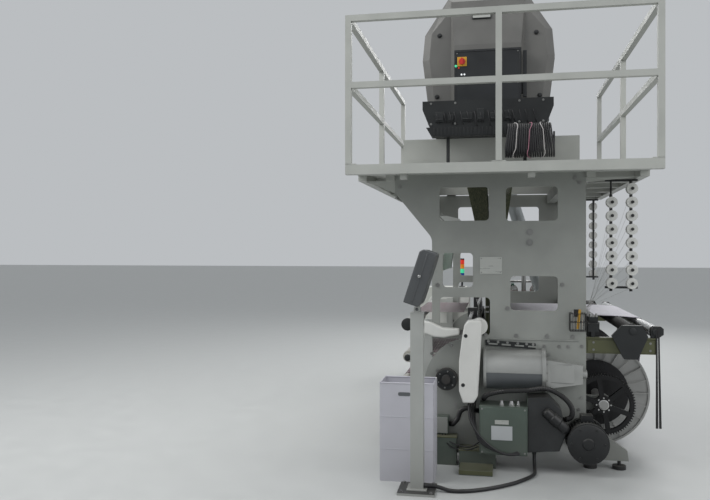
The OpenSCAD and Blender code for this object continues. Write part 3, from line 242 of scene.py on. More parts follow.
# The slots of the CAD model
surface("frame_grey", (0.30, 0.31, 0.29), 0.42, mottle=0.07, dust=0.3, floor_darkening=0.5)
surface("platform_grey", (0.44, 0.45, 0.42), 0.45, mottle=0.06, dust=0.25)
surface("black_steel", (0.014, 0.016, 0.017), 0.5, mottle=0.3, dust=0.22)
surface("cover_grey", (0.15, 0.148, 0.14), 0.36, metal=0.25, mottle=0.06, grain=260, bump=0.1)
surface("vent_grey", (0.075, 0.078, 0.08), 0.5, mottle=0.15, dust=0.3)
surface("box_black", (0.012, 0.014, 0.016), 0.45, mottle=0.2, dust=0.15)
surface("knob_red", (0.55, 0.02, 0.015), 0.3, mottle=0.08, bump=0.05, coat=0.4)
surface("gearbox_dark", (0.03, 0.032, 0.033), 0.5, mottle=0.3, grain=140, bump=0.6, dust=0.25)
see_through("tube_grey", (0.62, 0.65, 0.66), 0.16, 0.55)
surface("steel", (0.55, 0.55, 0.54), 0.28, metal=1.0, mottle=0.08, grain=220, bump=0.12, stretch=(1, 0.15, 1))
striped("harness_green", (0.13, 0.14, 0.075), (0.025, 0.03, 0.014), "xy", 0.004)
wooden("board_wood")
surface("spring_black", (0.04, 0.04, 0.04), 0.55, mottle=0.2, dust=0.4)
surface("lay_grey", (0.12, 0.13, 0.137), 0.42, mottle=0.1, dust=0.3)
surface("guide_dark", (0.07, 0.07, 0.072), 0.38, metal=0.7, mottle=0.2, dust=0.2)
surface("cast_silver", (0.42, 0.425, 0.41), 0.42, metal=0.55, mottle=0.09, grain=190, bump=0.35,
        floor_darkening=0.2)
surface("cover_white", (0.70, 0.70, 0.67), 0.34, mottle=0.05, bump=0.08, coat=0.3, dust=0.15)
surface("beam_grey", (0.46, 0.47, 0.45), 0.4, mottle=0.08, dust=0.2)
surface("grip_dark", (0.05, 0.047, 0.044), 0.75, mottle=0.25, grain=700, bump=0.8)
surface("roller_pale", (0.58, 0.56, 0.50), 0.35, metal=0.6, mottle=0.07)
label_cloth()
striped("warp_white", (0.72, 0.70, 0.75), (0.42, 0.40, 0.46), "y", 0.0022, 0.6, 0.5, 0.15)
surface("beam_alu", (0.36, 0.36, 0.35), 0.38, metal=0.7, mottle=0.1, grain=160, bump=0.3)
surface("gear_black", (0.016, 0.016, 0.017), 0.34, metal=0.5, mottle=0.3, bump=0.3)
surface("olive_paint", (0.10, 0.105, 0.05), 0.4, mottle=0.12, dust=0.3)
surface("motor_black", (0.012, 0.013, 0.014), 0.45, mottle=0.3, grain=120, bump=0.5, dust=0.25)
surface("box_green", (0.085, 0.115, 0.095), 0.42, mottle=0.12, dust=0.2, floor_darkening=0.4)
surface("hose_black", (0.014, 0.014, 0.015), 0.4, mottle=0.3, bump=0.2, dust=0.2)
surface("cable_black", (0.014, 0.014, 0.016), 0.42, mottle=0.3, bump=0.2, dust=0.15)
surface("rack_black", (0.022, 0.022, 0.022), 0.45, mottle=0.3)
surface("post_grey", (0.42, 0.43, 0.41), 0.4, mottle=0.07, dust=0.2, floor_darkening=0.4)
surface("screen_grey", (0.085, 0.09, 0.094), 0.38, mottle=0.07, grain=400, bump=0.2)
surface("bin_white", (0.58, 0.575, 0.625), 0.5, mottle=0.05, bump=0.12, floor_darkening=0.25)
surface("cabinet_grey", (0.53, 0.54, 0.50), 0.5, mottle=0.04, grain=500, bump=0.5, floor_darkening=0.3)
glowing("tower_light", (0.55, 0.03, 0.02), 0.25)
surface("lamp_white", (0.66, 0.67, 0.65), 0.4, mottle=0.04, dust=0.2)
surface("stand_steel", (0.42, 0.42, 0.41), 0.34, metal=0.9, mottle=0.12, dust=0.2)
surface("feeder_green", (0.012, 0.075, 0.045), 0.3, mottle=0.15, bump=0.1, coat=0.3)
surface("pad_black", (0.025, 0.025, 0.025), 0.7, mottle=0.25, dust=0.3)

# Materials of the scene's own pieces
surface("screen_glass", (0.01, 0.012, 0.014), 0.08, mottle=0.3, bump=0.0, coat=0.6)
surface("plate_pale", (0.50, 0.51, 0.48), 0.33, metal=0.5, mottle=0.05, stretch=(1, 1, 12), bump=0.1)
surface("label_paper", (0.50, 0.52, 0.53), 0.5, mottle=0.06, bump=0.1)
surface("screw", (0.30, 0.30, 0.29), 0.35, metal=0.9, mottle=0.15)
striped("yarn_white", (0.74, 0.73, 0.71), (0.46, 0.45, 0.44), "y", 0.0016, 0.75, 0.7, 0.2)
striped("yarn_red", (0.42, 0.03, 0.04), (0.16, 0.01, 0.015), "y", 0.0016, 0.75, 0.7, 0.2)
surface("switch_yellow", (0.55, 0.30, 0.02), 0.4, mottle=0.06, bump=0.05)
glowing("lens_green", (0.05, 0.5, 0.25), 0.8)
glowing("lens_white", (0.75, 0.78, 0.8), 0.8)
glowing("lens_red", (0.62, 0.03, 0.015), 0.5)
glowing("lens_amber", (0.62, 0.20, 0.01), 0.4)
glowing("lens_blue", (0.01, 0.05, 0.28), 0.15)
glowing("lamp_panel", (0.92, 0.95, 0.93), 5.0)
surface("tie_white", (0.60, 0.57, 0.56), 0.5, mottle=0.08, bump=0.1)
surface("tie_pink", (0.42, 0.18, 0.24), 0.5, mottle=0.08, bump=0.1)
see_through("foil_green", (0.55, 0.72, 0.62), 0.35, 0.5)

for entry in frame["record"]["subparts"]:
    cad = frame["nodes"][entry["node"]]
    cad.data.materials.clear()
    cad.data.materials.append(MATERIAL[entry["material_slot"]])


# ---------------------------------------------------------------- shapes

SHARP = math.radians(35)


class Draft:
    """A mesh drawn in the loom's millimetres, then finished as one named piece."""

    def __init__(self):
        self.bm = bmesh.new()

    def box(self, x0, x1, y0, y1, z0, z1, turn=None, about=None):
        """A block between two corners, turned by a rotation about a point if asked."""
        made = bmesh.ops.create_cube(self.bm, size=1.0)["verts"]
        bmesh.ops.scale(self.bm, verts=made, vec=(x1 - x0, y1 - y0, z1 - z0))
        bmesh.ops.translate(self.bm, verts=made, vec=((x0 + x1) / 2, (y0 + y1) / 2, (z0 + z1) / 2))
        if turn is not None:
            bmesh.ops.rotate(self.bm, verts=made, cent=about, matrix=turn)
        return self

    def rod(self, start, end, radius, sides=20, end_radius=None):
        """A round rod or cone between two points."""
        start, end = Vector(start), Vector(end)
        run = end - start
        where = Matrix.Translation((start + end) / 2) @ run.to_track_quat("Z", "Y").to_matrix().to_4x4()
        bmesh.ops.create_cone(self.bm, cap_ends=True, segments=sides, radius1=radius,
                              radius2=end_radius or radius, depth=run.length, matrix=where)
        return self

    def skin(self, rows, around=True, caps=False):
        """Faces from each row of points to the next; gives the rows of the mesh's own points."""
        rows = [[self.bm.verts.new(point) for point in row] for row in rows]
        count = len(rows[0])
        for one, two in zip(rows, rows[1:]):
            for k in range(count if around else count - 1):
                j = (k + 1) % count
                self.bm.faces.new((one[k], one[j], two[j], two[k]))
        if caps:
            self.bm.faces.new(rows[0][::-1])
            self.bm.faces.new(rows[-1])
        return rows

    def prism(self, outline, axis, low, high):
        """An outline in the two other axes, drawn out along one axis."""
        at = "xyz".index(axis)
        self.skin([[(*point[:at], level, *point[at:]) for point in outline] for level in (low, high)],
                  caps=True)
        return self

    def turned(self, base, direction, profile, sides=28):
        """A turned piece: a profile of (distance along, radius) about a line."""
        turn = Vector(direction).to_track_quat("Z", "Y").to_matrix()
        angles = [2 * math.pi * k / sides for k in range(sides)]
        self.skin([[Vector(base) + turn @ Vector((radius * math.cos(a), radius * math.sin(a), along))
                    for a in angles] for along, radius in profile], caps=True)
        return self

    def tube(self, points, radii, sides=8):
        """A round tube along points, with closed ends; several radii take turns."""
        radii = radii if isinstance(radii, tuple) else (radii,)
        points = [Vector(p) for p in points]
        side, rings = None, []
        befores, afters = points[:1] + points, points[1:] + points[-1:]
        for i, (before, point, after) in enumerate(zip(befores, points, afters)):
            run = (after - before).normalized()
            side = side or run.orthogonal().normalized()
            side = (side - side.dot(run) * run).normalized()
            other = run.cross(side)
            rings.append([point + radii[i % len(radii)] * (math.cos(a) * side + math.sin(a) * other)
                          for a in [2 * math.pi * k / sides for k in range(sides)]])
        self.skin(rings, caps=True)
        return self

    def finish(self, name, slot, material=None, body="loom", bevel=0.0, segments=2, smooth=True):
        """Makes the piece that rides on a body, in the slot's own material or another one."""
        bmesh.ops.recalc_face_normals(self.bm, faces=self.bm.faces)
        for vert in self.bm.verts:
            vert.co = place(vert.co)
        for face in self.bm.faces:
            face.smooth = smooth
        self.bm.normal_update()
        for edge in self.bm.edges:
            if smooth and len(edge.link_faces) == 2 and edge.calc_face_angle(0.0) > SHARP:
                edge.smooth = False
        mesh = bpy.data.meshes.new(name)
        self.bm.to_mesh(mesh)
        self.bm.free()
        piece = new_object(name, mesh)
        mesh.materials.append(MATERIAL[material or slot])
        if bevel:
            rounding = piece.modifiers.new("rounding", "BEVEL")
            rounding.width = bevel / 1000.0
            rounding.segments = segments
            rounding.limit_method = "ANGLE"
            rounding.angle_limit = SHARP
        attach(piece, body)
        return piece


def arc(x, z, radius, start, end, steps=8):
    """Points of an arc, angles in degrees."""
    angles = [math.radians(start + (end - start) * i / steps) for i in range(steps + 1)]
    return [(x + radius * math.cos(a), z + radius * math.sin(a)) for a in angles]


def rounded(x0, x1, z0, z1, radius):
    """Outline of a rectangle with round corners."""
    made = []
    for x, z, start in ((x1 - radius, z1 - radius, 0), (x0 + radius, z1 - radius, 90),
                        (x0 + radius, z0 + radius, 180), (x1 - radius, z0 + radius, 270)):
        made += arc(x, z, radius, start, start + 90, 6)
    return made


def circle(x, y, z, radius, count, start=0.0, closed=False):
    """Points round the Y direction; a closed circle ends where it starts."""
    made = [(a, y, b) for a, b in arc(x, z, radius, start, start + 360, count)]
    return made if closed else made[:-1]


def spin(k, count):
    """The turn about Y that brings a piece to place k of several round a circle."""
    return Matrix.Rotation(2 * math.pi * k / count, 3, "Y")


def smooth_route(points, steps):
    """The same smooth line through route points as in part.scad."""
    made = []
    points = [Vector(p) for p in points]
    for a, b, c, d in zip(points[:1] + points, points, points[1:], points[2:] + points[-1:]):
        for t in [k / steps for k in range(steps)]:
            made.append(0.5 * ((2 * b) + (c - a) * t + (2 * a - 5 * b + 4 * c - d) * t * t
                               + (3 * b - a - 3 * c + d) * t ** 3))
    return made + points[-1:]


def outward(path):
    """Directions square to a path, in X and Z."""
    runs = [(Vector(b) - Vector(a)).normalized() for a, b in zip(path[:1] + path, path[1:] + path[-1:])]
    return [Vector((run.y, -run.x)) for run in runs]


def length_of(points):
    """Length of a line of points, in metres."""
    return sum((Vector(b) - Vector(a)).length for a, b in zip(points, points[1:])) / 1000.0


def evenly(low, high, count):
    """Values evenly spaced from the first to the last."""
    return [low + (high - low) * i / (count - 1) for i in range(count)]


def boxes(name, slot, corners, material=None, **settings):
    """A piece made of blocks."""
    part = Draft()
    for corner in corners:
        part.box(*corner)
    return part.finish(name, slot, material, **settings)


def screws(name, points, radius, height, direction=(0, -1, 0), body="loom"):
    """Hexagon screw heads on washers, at points on a face."""
    part = Draft()
    out = Vector(direction) * height
    for point in points:
        point = Vector(point)
        part.rod(point, point + out * 0.35, radius * 1.35, 18)
        part.rod(point + out * 0.35, point + out * 1.3, radius, 6)
    part.finish(name, "steel", "screw", body, smooth=False)


# ---------------------------------------------------------------- cords

def cord_curve(name, points, radius, smooth=False):
    """A cord as one open spline through points of the loom, smoothed as in part.scad if asked."""
    line = bpy.data.curves.new(name, "CURVE")
    line.dimensions = "3D"
    line.bevel_depth = radius / 1000.0
    line.bevel_resolution = 3
    line.use_fill_caps = True
    if smooth:
        line.resolution_u = 6
        spline = line.splines.new("BEZIER")
        spline.bezier_points.add(len(points) - 1)
        for knot, before, point, after in zip(spline.bezier_points, points[:1] + points, points,
                                              points[1:] + points[-1:]):
            reach = (Vector(after) - Vector(before)) / 6
            knot.handle_left_type = knot.handle_right_type = "FREE"
            knot.co = place(point)
            knot.handle_left = place(Vector(point) - reach)
            knot.handle_right = place(Vector(point) + reach)
    else:
        spline = line.splines.new("POLY")
        spline.points.add(len(points) - 1)
        for knot, point in zip(spline.points, points):
            knot.co = (*place(point), 1.0)
    piece = new_object(name, line)
    line.materials.append(MATERIAL["cable_black"])
    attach(piece, "loom")
    return piece


PENDANT_ROUTE = [
    (-457.7, -700, 34), (-428, -700, 34), (-398, -700, 34), (-368, -700.5, 30.5), (-338, -702, 23),
    (-306, -704, 15.6), (-270, -704.5, 12.7), (-222, -697, 12.4), (-155, -672, 12.4), (-75, -624, 12.4),
    (10, -558, 12.4), (90, -480, 12.4), (152, -400, 12.4), (198, -330, 12.4), (225, -275, 12.4),
    (236, -225, 12.4), (238, -185.4, 13.5), (238, -159.3, 20.2), (238, -136, 33.6), (238, -117, 52.6),
    (238, -103.7, 76.1), (238, -97.1, 101.6), (238, -96, 133)]
PENDANT_RADIUS = 12.0
pendant_cord = cord_curve("pendant_cord", PENDANT_ROUTE, PENDANT_RADIUS, smooth=True)
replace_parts(pendant_cord, "pendant_cable")
length_of(smooth_route(PENDANT_ROUTE, 6))

# The head's cable is tied up as a hank of upright turns, in front of the near end of the base.
HANK_X = (38.0, 372.0)
HANK_Y = -127.0
HANK_TOP, HANK_LOW = 2312.0, 2184.0
HANK_BEND = 48.0
CABLE_RADIUS = 6.5
HANK_TURNS = 22


def hank_points():
    """Upright turns side by side, each with two straight runs and two round bends."""
    middle, half = sum(HANK_X) / 2, (HANK_X[1] - HANK_X[0]) / 2
    turn = arc(HANK_Y, HANK_TOP, HANK_BEND, 0, 180, 9)[:-1] + arc(HANK_Y, HANK_LOW, HANK_BEND, 180, 360, 9)
    made = []
    for i, (y, z) in enumerate(turn * HANK_TURNS):
        fan = 0.87 + 0.13 * min(1.0, max(0.0, (HANK_TOP - z) / (HANK_TOP - HANK_LOW)))
        made.append((middle + half * fan * (2 * i / (len(turn) * HANK_TURNS) - 1), y, z))
    return made + [(made[-1][0], HANK_Y + HANK_BEND, z) for z in (HANK_TOP - 40, HANK_TOP)]


# ---------------------------------------------------------------- head

NEAR, FAR, UP = (0, -1, 0), (0, 1, 0), (0, 0, 1)
HEAD_X = -90.0
HEAD_Y = (875.0, 1625.0)
HEAD_LOW = 2700.0


def head_seams():
    """Dark seams between the end covers and the side panels, just inside the covers' outline."""
    half = [(491, 0), (537, 385), (517, 600), (390, 750), (322, 894)]
    outline = half + [(-x, z) for x, z in reversed(half)]
    part = Draft()
    for y in (HEAD_Y[0] + 131, HEAD_Y[1] - 131):
        part.tube([(HEAD_X + x, y, HEAD_LOW + z) for x, z in outline], 7, 10)
    part.finish("head_seams", "black_steel")


def head_front():
    """Knobs, bare plate, switch plate and lamps on the near end cover."""
    part = Draft()
    for x, z in ((-483, 3281), (-504, 2773), (299, 3268), (327, 2756)):
        for y, out in ((HEAD_Y[0], -1), (HEAD_Y[1], 1)):
            part.rod((x, y, z), (x, y + out * 8, z), 19, 24)
            part.rod((x, y + out * 8, z), (x, y + out * 22, z), 14, 24, 11)
    part.finish("head_knobs", "black_steel", bevel=1.5)
    boxes("head_plate", "box_black", [(-215, -60, 835, 857, 3395, 3440)], bevel=3)
    boxes("head_plate_face", "frame_grey", [(-208, -67, 832, 835, 3401, 3434)], "plate_pale", bevel=1)
    boxes("switch_plate", "knob_red", [(-330, -254, 741, 746, 2987, 3063)], "switch_yellow", bevel=2)
    for name, x, z, r in (("green", -341, 2990, 10), ("white_a", -296, 2920, 7), ("white_b", -272, 2920, 7),
                          ("red", -318, 2975, 6)):
        part = Draft().turned((x, 746, z), NEAR, [(0, r), (5, r), (9, r * 0.6), (10, 1)], 20)
        part.finish(f"lamp_{name}", "tower_light", "lens_" + name.split("_")[0])
    boxes("box_lid_edge", "box_black", [(x - 3, x + 3, 741, 745.5, 2660, 3110) for x in (-345, 165)]
          + [(-345, 165, 741, 745.5, z - 3, z + 3) for z in (2668, 3106)], bevel=1)
    screws("box_screws", [(x, 745, z) for x in (-332, 150) for z in (2690, 2840, 3092)], 4, 3)


def base_clutter():
    """Connector boxes, ribs and short leads in the near end of the black base."""
    sizes = ((-440, 60, 70), (-350, 40, 50), (-260, 80, 60), (-150, 50, 85), (-60, 70, 55), (40, 50, 70))
    part = Draft()
    for i, (x, width, height) in enumerate(sizes):
        part.box(x, x + width, -84 + 3 * (i % 3), -69, 2400, 2400 + height)
        part.box(x + 6, x + width - 6, -90, -80, 2410, 2420)
    for x in range(-452, 290, 26):
        part.box(x, x + 12, -74, -69, 2304, 2360)
    part.finish("base_boxes", "black_steel", bevel=2)
    part = Draft()
    for i in range(16):
        x = -430 + 44 * i + random.uniform(-12, 12)
        drop = random.uniform(25, 60)
        part.tube(smooth_route([(x, -72, 2470), (x + 8, -86, 2460 - drop / 2), (x + 14, -88, 2440 - drop),
                                (x + 22, -72, 2420 - drop)], 5), 3.6, 6)
    part.finish("base_leads", "cable_black")
    boxes("base_strips", "frame_grey", [(x, x + 5, 80, 540, 2507, 2535) for x in (-530, 365)], bevel=1)
    screws("base_bolts", [(x, -70, z) for x in (-470, -300, 140, 300) for z in (2388, 2532)], 6, 4)


def head_cable():
    """The hank of the head's cable with its ties."""
    points = hank_points()
    hank = cord_curve("head_cord", points, CABLE_RADIUS)
    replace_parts(hank, "cable_coil")
    reach = HANK_BEND + CABLE_RADIUS + 2
    loop = arc(HANK_Y, HANK_TOP, reach, 0, 180, 10) + arc(HANK_Y, HANK_LOW, reach, 180, 360, 10)
    for name, x, colour in (("white", 110, "white"), ("pink", 205, "pink"), ("pale", 290, "white")):
        part = Draft()
        part.tube([(x + 16 * math.sin(0.55 * i + x), y, z) for i, (y, z) in enumerate(loop + loop[:1])],
                  2.6, 6)
        part.finish(f"hank_tie_{name}", "cable_black", "tie_" + colour)


# ---------------------------------------------------------------- harness, reed and cloth

HOOKS = (985.0, 1515.0)
HARNESS_ROWS, ROW_CORDS = 24, 34


def harness(node, body, x, top):
    """Harness cords fanning from the hooks to the comber board, down to their springs."""
    part = Draft()
    for row in range(HARNESS_ROWS):
        share = row / (HARNESS_ROWS - 1)
        x_top = top[0] + 4 + (top[1] - top[0] - 8) * share
        x_mid, x_low = x + 4 + 50 * share, x + 17 + 24 * share
        for i in range(ROW_CORDS):
            along = (i + (row * 0.382) % 1.0) / ROW_CORDS
            y_top, y_low = [low + 4 + (high - low - 8) * along for low, high in (HOOKS, REED)]
            part.tube([(x_top, y_top, 2618), (x_mid, y_low, 1392), (x_mid, y_low, 1214), (x_low, y_low, 1205),
                       (x_low, y_low, 645)], 2.2, 3)
    cords = part.finish(node + "_cords", "harness_green", body=body, smooth=False)
    boxes(node + "_mails", "steel", [(x + 15, x + 43, y - 1.2, y + 1.2, z, z + 12) for z in (1000, 1040)
                                     for y in evenly(REED[0] + 4, REED[1] - 4, 75)], body=body, smooth=False)
    for z in (1214, 1386):
        boxes(f"{node}_bar_{z}", "spring_black", [(x + 1, x + 57, REED[0] + 1, REED[1] - 1, z - 3, z + 3)],
              body=body, bevel=1)
    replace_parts(cords, node)


def both_harnesses():
    """The front and the rear group, each with the body it rides on."""
    harness("harness_front", "harness_b", -120.0, (-390.0, -130.0))
    harness("harness_rear", "harness_a", -40.0, (-80.0, 200.0))


def reed_wires():
    """The reed's wires between its two baulks."""
    wires = boxes("reed_wires", "steel", [(-164, -156, y - 0.5, y + 0.5, 979, 1061)
                                          for y in evenly(REED[0] + 3, REED[1] - 3, 275)]
                  + [(-170, -150, *REED, z, z + 14) for z in (965, 1061)], body="lay", smooth=False)
    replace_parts(wires, "reed")


# Rollers, each as X, Z and radius
TAKE_UP = (-363.0, 588.0, 85.0)
FRONT_BAR = (-650.0, 960.0, 40.0)
FRONT_ROLL = (-650.0, 718.0, 41.0)
DELIVERY = (-720.0, 458.0, 41.0)
BEAM = (718.0, 420.0, 300.0)
GUIDE = (1045.0, 940.0, 40.0)
WHIP = (890.0, 950.0, 40.0)
STRIPS = 10
STRIP_GAP = 14.0
REPEAT = 46.0
HANGING = 4     # points at the end of the strips' path that hang free


def wrapped(roller, lift, start, end, steps):
    """The arc of a cloth that lies on a roller."""
    return arc(roller[0], roller[1], roller[2] + lift, start, end, steps)


def thicken(sheet, thickness):
    """Gives a sheet its thickness, to both sides."""
    cloth = sheet.modifiers.new("cloth", "SOLIDIFY")
    cloth.thickness = thickness
    cloth.offset = 0.0


def labels():
    """Ten strips of woven labels from the fell to the floor, with their pattern along the strip."""
    path = ([(-275, 1000)] + wrapped(FRONT_BAR, 1, 70, 180, 12) + wrapped(FRONT_ROLL, 1, 180, 270, 8)
            + wrapped(TAKE_UP, 3, 90, -90, 16) + wrapped(DELIVERY, 1, 90, 180, 8)
            + [(-763, 340), (-761, 220), (-757, 120), (-750, 45)])
    reach = [0.0]
    for a, b in zip(path, path[1:]):
        reach.append(reach[-1] + (Vector(b) - Vector(a)).length)
    width = (REED_WIDTH - STRIP_GAP * (STRIPS - 1)) / STRIPS
    part = Draft()
    uv = part.bm.loops.layers.uv.new("UVMap")
    spot = {}
    for strip in range(STRIPS):
        y0 = REED[0] + (width + STRIP_GAP) * strip
        rows = []
        for i, ((x, z), out) in enumerate(zip(path, outward(path))):
            loose = 1 if i >= len(path) - HANGING else 0
            sway = 7 * loose * math.sin(strip * 1.7 + reach[i] / 90)
            lifts = [0.7 + 2.5 * loose * math.sin(k * 1.5 + strip + reach[i] / 60) for k in range(5)]
            rows.append([(x + out.x * lift, y0 + width * k / 4 + sway, z + out.y * lift)
                         for k, lift in enumerate(lifts)])
        for row, along in zip(part.skin(rows, around=False), reach):
            spot.update({vert: (k / 2, along / REPEAT) for k, vert in enumerate(row)})
    for face in part.bm.faces:
        for loop in face.loops:
            loop[uv].uv = spot[loop.vert]
    web = part.finish("label_strips", "label_cloth")
    thicken(web, 0.0009)
    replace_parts(web, "woven_labels")


WARP_HALF = 600.0


def warp():
    """The sheet of warp ends, from the beam over both rear rollers to the harness."""
    gap = 2.0
    run = Vector(GUIDE[:2]) - Vector(BEAM[:2])
    turn = math.degrees(math.atan2(run.y, run.x) + math.asin((BEAM[2] - GUIDE[2]) / run.length)) - 90
    path = (wrapped(BEAM, gap, turn, turn, 1)[:1] + wrapped(GUIDE, gap, turn, 94, 10)
            + wrapped(WHIP, gap, 88, 94, 3) + [(685, 998), (605, 998), (30, 998)])
    y0, y1 = MIDDLE - WARP_HALF, MIDDLE + WARP_HALF
    part = Draft()
    part.skin([[(x + out.x * 1.5, y, z + out.y * 1.5) for y in evenly(y0, y1, 13)]
               for (x, z), out in zip(path, outward(path))], around=False)
    sheet = part.finish("warp_ends", "warp_white")
    thicken(sheet, 0.001)
    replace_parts(sheet, "warp_sheet")


def drop_wires():
    """Rows of thin drop wires that hang on the warp ends in the stop motion."""
    wires = [(618 + 18 * row, MIDDLE - 590 + 1180 * (i + 0.25 * row) / 170)
             for row in range(4) for i in range(170)]
    boxes("drop_wires", "steel", [(x - 4, x + 4, y - 0.6, y + 0.6, 1003, 1013) for x, y in wires],
          smooth=False)
    part = Draft()
    for y in (60, SPAN - 60):
        for x in (625, 665):
            part.rod((x, y, 1035), (x, y, 1060), 9, 6)
    for y in evenly(MIDDLE - 560, MIDDLE + 560, 12):
        part.box(612, 678, y - 6, y + 6, 1035, 1041)
    part.finish("stop_motion_fittings", "steel", bevel=1)


# ---------------------------------------------------------------- drive side

def covers():
    """The tape wheel's cover, and the shields at the front corners of both sides."""
    part = Draft().prism([(-207, 1014), (-122, 1020), (-113, 990), (-126, 742), (-140, 503), (-167, 454),
                          (-241, 451), (-268, 533), (-268, 738), (-248, 897), (-232, 985)], "y", -190, -70)
    part.box(-235, -160, -70, 0, 540, 850)
    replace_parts(part.finish("tape_wheel_cover", "cover_white", bevel=9, segments=3), "drive_cover")
    Draft().rod((-134, -70, 965), (-134, 0, 965), 58, 40).finish("tape_wheel_cap", "cover_white", bevel=4)
    # Painted shade: black discs, each with a hexagon, stand for the shadow inside the cover's two pocket
    # recesses.
    part = Draft()
    for x, z in ((-222, 912), (-240, 575)):
        part.rod((x, -191.5, z), (x, -188, z), 13, 24)
        part.rod((x, -193.5, z), (x, -190, z), 7, 6)
    part.finish("cover_recess_shade", "black_steel", smooth=False)

    part = Draft().prism([(-540, 1000), (-463, 985), (-390, 950), (-272, 946), (-272, 905), (-380, 882),
                          (-450, 886), (-500, 905), (-540, 910)], "y", -70, 0)
    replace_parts(part.finish("near_shield", "cover_white", bevel=10, segments=3), "front_shields")
    rim = [(-300, 330), (-300, 1045)] + arc(-615, 925, 120, 90, 180, 8) + [(-735, 420), (-650, 330)]
    part = Draft().prism(rim, "y", SPAN, SPAN + 54)
    part.prism(rounded(-645, -405, 445, 895, 56), "y", SPAN + 54, SPAN + 60)
    part.finish("far_shield", "cover_white", bevel=12, segments=3)
    part = Draft().tube([(x * 0.97 - 15, SPAN + 62, z * 0.97 + 20) for x, z in rim + rim[:1]], 13, 8)
    part.finish("far_shield_rim", "cover_white")


STRIP_SLOPE = 0.052
FRAME_SCREWS = [(-430, 640), (-460, 450), (-300, 400), (310, 830), (410, 830), (470, 830), (560, 835),
                (340, 770), (-180, 380), (100, 360), (560, 480), (540, 400), (-330, 820), (-470, 760),
                (610, 300), (660, 220)]
PLATE_BOLTS = [(-665, 2020), (-702, 1957), (515, 2000), (545, 1965), (-430, 1250), (60, 1090), (430, 1260),
               (-90, 900), (120, 900), (330, 900), (500, 900)]


def frame_fittings():
    """Slotted strip with clamping knobs on the side frame, and screws and plates on both sides."""
    part = Draft().prism([(-92, 868), (252, 850), (252, 811), (-92, 829)], "y", -16, 0)
    part.finish("slotted_strip", "black_steel", bevel=2)
    part = Draft()
    for x in (-70, 20, 110, 200):
        z = 844 - STRIP_SLOPE * (x + 92)
        part.prism([(x, z + 5), (x + 62, z + 2), (x + 62, z - 8), (x, z - 5)], "y", -17.2, -15.5)
    part.finish("strip_slots", "frame_grey", bevel=0.6)
    screws("strip_knobs", [(x, -16, 860 - STRIP_SLOPE * (x + 92)) for x in (-72, -5, 60, 130, 190, 235)],
           7, 9)
    screws("side_frame_screws", [(x, 0, z) for x, z in FRAME_SCREWS], 9, 5)
    screws("far_frame_screws", [(x, SPAN, z) for x, z in FRAME_SCREWS], 9, 5, FAR)
    screws("plate_bolts", [(x, 0, z) for x, z in PLATE_BOLTS], 11, 7)
    screws("frame_domes", [(212, 0, z) for z in (1552, 1625)], 17, 10)
    screws("far_plate_bolts", [(x, SPAN, z) for x, z in PLATE_BOLTS], 11, 7, FAR)
    part = Draft().prism(rounded(-131, 22, 1331, 1451, 5), "y", -3, 0)
    part.finish("bare_plate", "frame_grey", "plate_pale", bevel=0.8)
    screws("bare_plate_screws", [(x, -3, z) for x in (-120, 11) for z in (1342, 1440)], 3, 2)
    boxes("seam_strip", "frame_grey", [(-60, 540, -6, 0, 871, 879)], bevel=1)


HOUSING = (-25.0, 671.0)


def curved_strip(part, x0, x1, high, low, start, end, steps):
    """A strip bent round the drive housing, between two radii and two angles."""
    corners = [arc(*HOUSING, r, start, end, steps) for r in (high, low)]
    part.skin([[(x0, *a), (x0, *b), (x1, *b), (x1, *a)] for a, b in zip(*corners)])


def housing_details():
    """Flange rings of the silver drive housing, and a dark strip of painted shade on its lower side."""
    part = Draft()
    curved_strip(part, -96, -84, 147, 130, 102, 258, 24)
    curved_strip(part, 288, 302, 144, 130, 102, 258, 24)
    part.finish("housing_rings", "cast_silver", bevel=1)
    # Painted shade: a dark strip over the lower, near side of the silver housing, where its underside falls
    # into shadow.
    part = Draft()
    curved_strip(part, -102, 312, 140.5, 134, 184, 255, 16)
    part.finish("housing_painted_shade", "lay_grey", bevel=1)
    screws("housing_bolts", [(316, y, z) for y, z in arc(*HOUSING, 143, 110, 250, 6)], 5, 5, (1, 0, 0))
    part = Draft().rod((560, -48, 652), (590, -48, 652), 30, 24)
    part.box(335, 500, -128, -122, 600, 720).finish("housing_end", "cast_silver", bevel=3)


